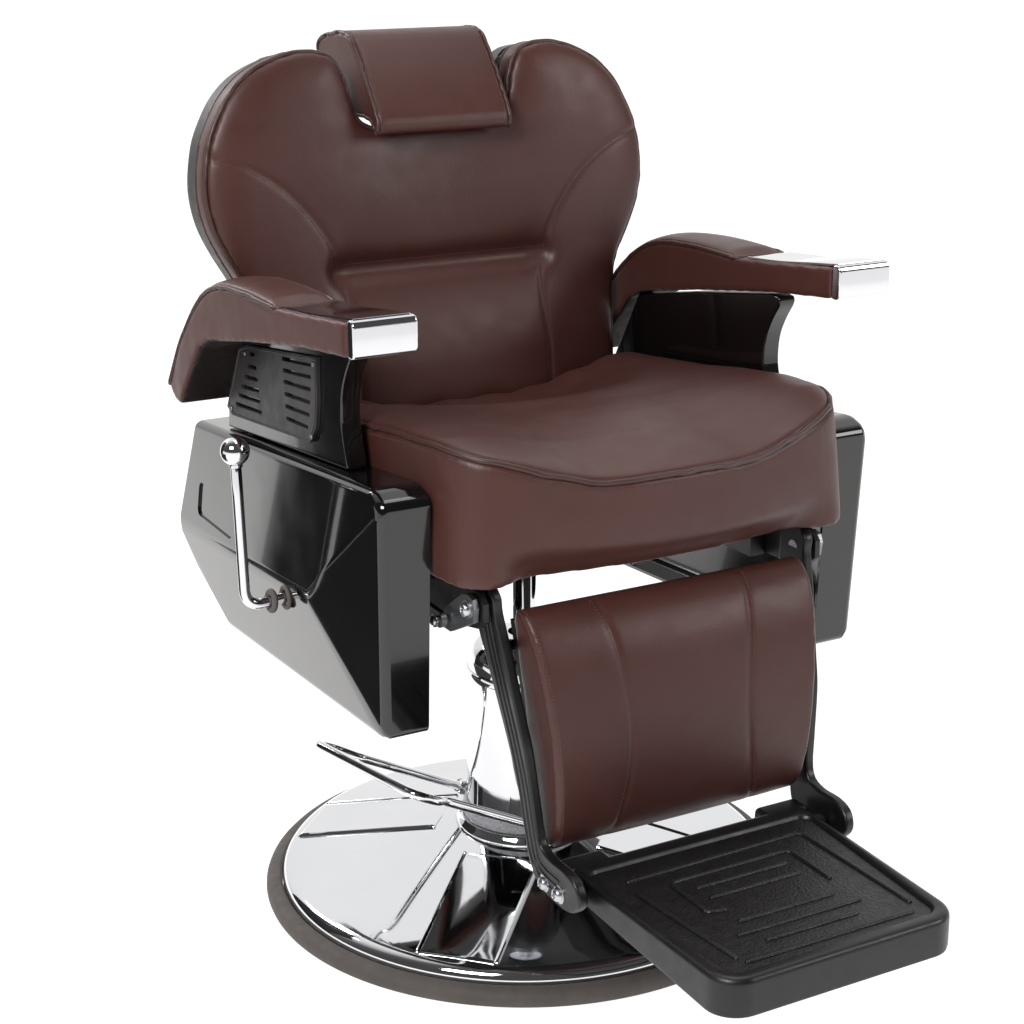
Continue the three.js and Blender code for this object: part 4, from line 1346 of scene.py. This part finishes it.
def make_leg_arms():
    for name, side in SIDES:
        outline = curve_through(ARM_OUTLINE, 150, closed=True)
        plate = prism("plate", outline, "x", 0.193, 0.205, "arm_black")
        rounded(plate, 0.0032, 4, 40)
        pieces = [plate]
        centre = curve_through(ARM_CENTRE, 70)
        flow = directions(centre)
        across = np.column_stack([-flow[:, 1], flow[:, 0]])
        for offset in (-0.0088, 0.0, 0.0088):
            line = centre + across * offset
            path = np.column_stack([np.full(len(line), 0.2046), line])
            pieces.append(tube("rib", path, 0.0018, "arm_black", sides=10))
        made = join_objects("legrest_casting_" + name, pieces)
        co = points_of(made)
        co[:, 0] -= (LEG_PIVOT[1] - co[:, 2]) * ARM_LEAN
        co[:, 0] *= side
        set_points(made, co)
        finish_mesh(made, SHARP)
        place(flatten(made), "legrest", "black_alloy", "legrest_arm_" + name)
        heads = []
        for y, z, r in ((*FOOT_PIVOT, 0.0078), (-0.360, 0.196, 0.0072)):
            at = (side * (arm_x(z) + 0.0062), y, z)
            heads.append(bolt_head("head", at, (side, 0, 0), r, height=0.75))
        shank = [(0, 0), (0.0042, 0), (0.0042, 0.030), (0, 0.030)]
        heads.append(turned("shank", shank, "zinc", (side * 0.150, *FOOT_PIVOT), (side, 0, 0), 24))
        screws = join_objects("footplate_screws_" + name, heads)
        place(screws, "legrest", "zinc", "footplate_bolt_" + name)
        for key, x, spot, radius in (
            ("legrest_nut_", 0.2252, LEG_PIVOT, 0.0075), ("crank_nut_", 0.2385, CRANK_STUD, 0.0055),
        ):
            nut = bolt_head(key + name, (side * x, *spot), (side, 0, 0), radius, height=0.7)
            place(nut, "legrest", "zinc")


CALF_SIDE = (
    (-0.297, 0.474), (-0.300, 0.484), (-0.309, 0.4885), (-0.321, 0.4855), (-0.337, 0.470),
    (-0.352, 0.440), (-0.362, 0.400), (-0.3685, 0.350), (-0.3685, 0.300), (-0.362, 0.255),
    (-0.353, 0.234), (-0.339, 0.223), (-0.324, 0.225), (-0.3145, 0.236),
)
CALF_SEAM = (
    (0.093, 0.489), (0.086, 0.450), (0.078, 0.390), (0.075, 0.350), (0.078, 0.300), (0.087, 0.250),
    (0.095, 0.228),
)


CALF_HALF = 0.17  # before the pad widens upwards


def calf_half(z):
    return np.interp(z, (0.215, 0.223, 0.360, 0.465, 0.495), (0.158, 0.160, 0.169, 0.179, 0.181))


def make_calf_pad():
    front = curve_through(CALF_SIDE, 90)
    made = prism("calf_soft", front, "x", -CALF_HALF, CALF_HALF, "leather")
    remesh(made, 0.0048)
    co = points_of(made)
    x = co[:, 0].copy()
    co[:, 0] *= calf_half(co[:, 2]) / CALF_HALF
    reach = np.clip(1 - (np.abs(x) / CALF_HALF) ** 2, 0, 1)
    depth = smoothstep(-0.315, -0.350, co[:, 1])
    co[:, 1] -= 0.004 * reach * depth
    set_points(made, co)
    edges, seams = [], []
    for side in (-1, 1):
        line = curve_through(CALF_SIDE[1:-1], 260)
        edges.append(np.array([(side * calf_half(z), y, z) for y, z in line]))
        seams.append(curve_through([(side * u, -0.5, v) for u, v in CALF_SEAM], 120))

    def on_pad(path, tree):
        out = []
        for u, _, v in path:
            spot, _, _, _ = tree.ray_cast(Vector((u, -0.6, v)), Vector((0, 1, 0)))
            out.append(tuple(spot) if spot else (u, -0.32, v))
        return np.array(out)

    held = np.zeros(len(co))
    for edge in edges:
        held = np.maximum(held, beside(co, edge, 0.004, 0.020, 0.03))
    plain = tree_of(made)
    for seam in seams:
        held = np.maximum(held, 0.75 * beside(co, on_pad(seam, plain), 0.003, 0.016, 0.03))
    rear = np.interp(co[:, 2], (0.235, 0.474), (-0.3145, -0.297))
    held = np.maximum(held, 1 - smoothstep(0.004, 0.014, rear - co[:, 1]))
    held = np.maximum(held, smoothstep(0.985, 0.998, np.abs(x) / CALF_HALF))
    inflate(made, 0.006, held)
    refine(made)
    for edge in edges:
        crease(made, edge, 0.0016, 0.0035)
    creased = tree_of(made)
    lines = [on_pad(seam, creased) for seam in seams]
    for line in lines:
        crease(made, line, 0.0012, 0.0050)
        crease(made, line, 0.0016, 0.0018)
    tree = tree_of(made)
    rows = []
    for side, edge in zip((-1, 1), edges):
        rows += [edge - (side * 0.006, 0, 0), edge + (0, 0.006, 0)]
    rows += [line + (side * 0.0042, 0, 0) for side, line in zip((-1, 1), lines)]
    stitches("calf_stitches", rows, tree, "legrest")
    place(made, "legrest", "leather", "calf_pad")


# ---- footplate ----
PLATE_REAR, PLATE_FRONT = -0.366, -0.650
MAT_DROP = 0.0046  # how far the mat lies below the rim
MAT = dict(half=0.1425, front_half=0.1265, rear=-0.3905, front=-0.6315, turn=0.016, rear_turn=0.012)
LIP = dict(half=0.1455, front_half=0.1300, rear=-0.3870, front=-0.6350, turn=0.019, rear_turn=0.015)
BOSS = (
    (0.0046, 0), (0.0120, 0), (0.0130, 0.001), (0.0130, 0.0155), (0.0120, 0.0165), (0.0046, 0.0165),
)
MAT_BEADS = (
    ((-0.113, -0.424), (0.113, -0.419), (0.117, -0.600)),
    ((-0.119, -0.451), (-0.103, -0.606)),
    ((-0.098, -0.617), (0.106, -0.617)),
    ((-0.058, -0.521), (-0.077, -0.519), (-0.077, -0.447), (0.077, -0.447), (0.077, -0.519)),
)
MAT_BARS = ((0.056, -0.470), (0.055, -0.494), (0.058, -0.548), (0.075, -0.571), (0.055, -0.592))


def plate_ring(inset, half=0.154, front_half=0.145, rear=PLATE_REAR, front=PLATE_FRONT,
               turn=0.034, rear_turn=0.014):
    """A closed plan of the plate, seen from above, whose corners are round."""
    out = []
    nose = max(turn - inset, 0.004)
    tail = max(rear_turn - inset, 0.003)
    slope = (half - front_half) / (rear - front)
    for side in (1, -1):
        back, bow = rear - inset, front + inset
        near, far = half - inset, front_half - inset
        arcs = [
            (near - tail, back - tail, tail, 90, 0),
            (far - nose + slope * nose, bow + nose, nose, 0, -90),
        ]
        if side < 0:
            arcs = arcs[::-1]
        for cx, cy, r, a0, a1 in arcs:
            for a in np.radians(np.linspace(a0, a1, 9)[::side]):
                out.append((side * (cx + r * math.cos(a)), cy + r * math.sin(a)))
    return out


def plate_top(y):
    return 0.2135 + (y - PLATE_REAR) * 0.0075


def plate_skirt(y):
    return float(np.interp(y, (-0.65, -0.61, -0.366), (0.1685, 0.1675, 0.1845)))


def make_footplate():
    loops = []
    for inset, rise in ((0.006, 0.0035), (0.0035, 0.0), (0.0008, 0.0015), (0.0, 0.0050)):
        loops.append([(x, y, plate_skirt(y) + rise) for x, y in plate_ring(inset)])
    for inset, plan, drop in (
        (0.0, {}, 0.0075), (0.0006, {}, 0.0045), (0.0024, {}, 0.0018), (0.0052, {}, 0.0003),
        (0.0080, {}, 0.0), (0.0, LIP, 0.0004), (0.0018, LIP, 0.0016), (0.0, MAT, MAT_DROP),
    ):
        loops.append([(x, y, plate_top(y) - drop) for x, y in plate_ring(inset, **plan)])
    count = len(loops[0])
    vertices = [p for loop in loops for p in loop]
    faces = skin(len(loops), count)
    faces.append(tuple((len(loops) - 1) * count + k for k in range(count)))
    shell = mesh_object("shell", vertices, faces, "satin_black", sharp=SHARP)
    modifier(shell, "SOLIDIFY", thickness=0.0035, offset=-1.0)
    apply_modifiers(shell)
    shell.data.set_sharp_from_angle(angle=math.radians(SHARP))
    pieces = [shell]
    for side in (1, -1):
        ear = rounded_rectangle((0.100, 0.1860), (0.158, 0.2135), 0.006)
        block = prism("ear", [(side * x, z) for x, z in ear], "y", -0.378, -0.3500, "satin_black")
        pieces.append(rounded(block, 0.004, 3, 50))
        at = (side * 0.1468, *FOOT_PIVOT)
        pieces.append(turned("boss", BOSS, "satin_black", at, (side, 0, 0)))
    tray = flatten(join_objects("footplate_tray", pieces))
    place(tray, "footplate", "satin_black", "footplate")

    def bead(points):
        path = bent([(x, y, plate_top(y) - MAT_DROP) for x, y in points], 0.010, 6)
        return tube("bead", path, 0.0030, "plate_mat")

    floor = [(x, y, plate_top(y) - 0.0043) for x, y in plate_ring(0.0005, **MAT)]
    ribs = [slab("mat", floor, [(x, y, z - 0.001) for x, y, z in floor], "plate_mat")]
    bars = [((-half, y), (half, y)) for half, y in MAT_BARS]
    ribs += [bead(points) for points in (*MAT_BEADS, *bars)]
    place(join_objects("footplate_mat", ribs), "footplate", "satin_black")


# ---- floor and light ----
FLOOR_HALF = 60.0
SKY_TOWARD = (0.35, 0.80, 0.48)  # the sky brightens in this direction
SKY = ((0.0, 0.07), (0.30, 0.11), (0.52, 0.55), (0.75, 0.95), (1.0, 1.0))
LIGHTS = (  # name, place, aim, width, power
    ("key", (-2.4, -1.6, 2.6), (0, 0, 0.7), 1.3, 92),
    ("fill", (2.4, -2.6, 2.0), (0, 0, 0.6), 1.6, 40),
    ("rim", (-1.4, 2.4, 2.4), (0, 0, 0.7), 1.4, 45),
    ("top", (0.3, 0.0, 3.2), (0, 0, 0.5), 1.6, 16),
)


def make_floor_and_light():
    corners = [(FLOOR_HALF * x, FLOOR_HALF * y, 0) for x, y in ((-1, -1), (1, -1), (1, 1), (-1, 1))]
    mesh_object("floor", corners, [(0, 1, 2, 3)], "floor")
    # the dark screen is seen only in reflections, in the front half of the lever's side box
    lying = [(-2.6, 0.20, 0.004), (-0.72, 0.20, 0.004), (-0.72, 1.5, 0.004), (-2.6, 1.5, 0.004)]
    standing = [(-2.6, 1.5, 0.01), (-0.90, 1.5, 0.01), (-0.90, 1.5, 2.2), (-2.6, 1.5, 2.2)]
    screen = mesh_object("dark_screen", lying + standing, [(0, 1, 2, 3), (4, 5, 6, 7)], "screen")
    for ray in ("camera", "diffuse", "shadow", "transmission"):
        setattr(screen, "visible_" + ray, False)
    world = bpy.data.worlds.new("studio")
    scene.world = world
    world.use_nodes = True
    tree = world.node_tree
    back = tree.nodes["Background"]
    where = tree.nodes.new("ShaderNodeTexCoord").outputs["Generated"]
    toward = tree.nodes.new("ShaderNodeVectorMath")
    toward.operation = "DOT_PRODUCT"
    toward.inputs[1].default_value = SKY_TOWARD
    tree.links.new(where, toward.inputs[0])
    stops = [(at, (value, value * 0.995, value * 0.985)) for at, value in SKY]
    tree.links.new(ramp(tree, toward.outputs["Value"], stops), back.inputs["Color"])
    back.inputs["Strength"].default_value = 1.0
    for name, at, aim, width, power in LIGHTS:
        light = bpy.data.lights.new(name, "AREA")
        light.shape = "RECTANGLE"
        light.size = width
        light.size_y = width * 0.8
        light.energy = power
        made = bpy.data.objects.new(name, light)
        made.location = at
        made.rotation_euler = (Vector(aim) - Vector(at)).to_track_quat("-Z", "Y").to_euler()
        made.visible_camera = False
        scene.collection.objects.link(made)


dress_cad()
make_base()
make_pedal()
make_lever()
make_side_boxes()
make_supports()
make_seat_cushion()
make_back_cushion()
make_back_shell()
make_headrest()
make_arm_pads()
make_leg_arms()
make_calf_pad()
make_footplate()
make_floor_and_light()

scene.view_settings.view_transform = "Standard"
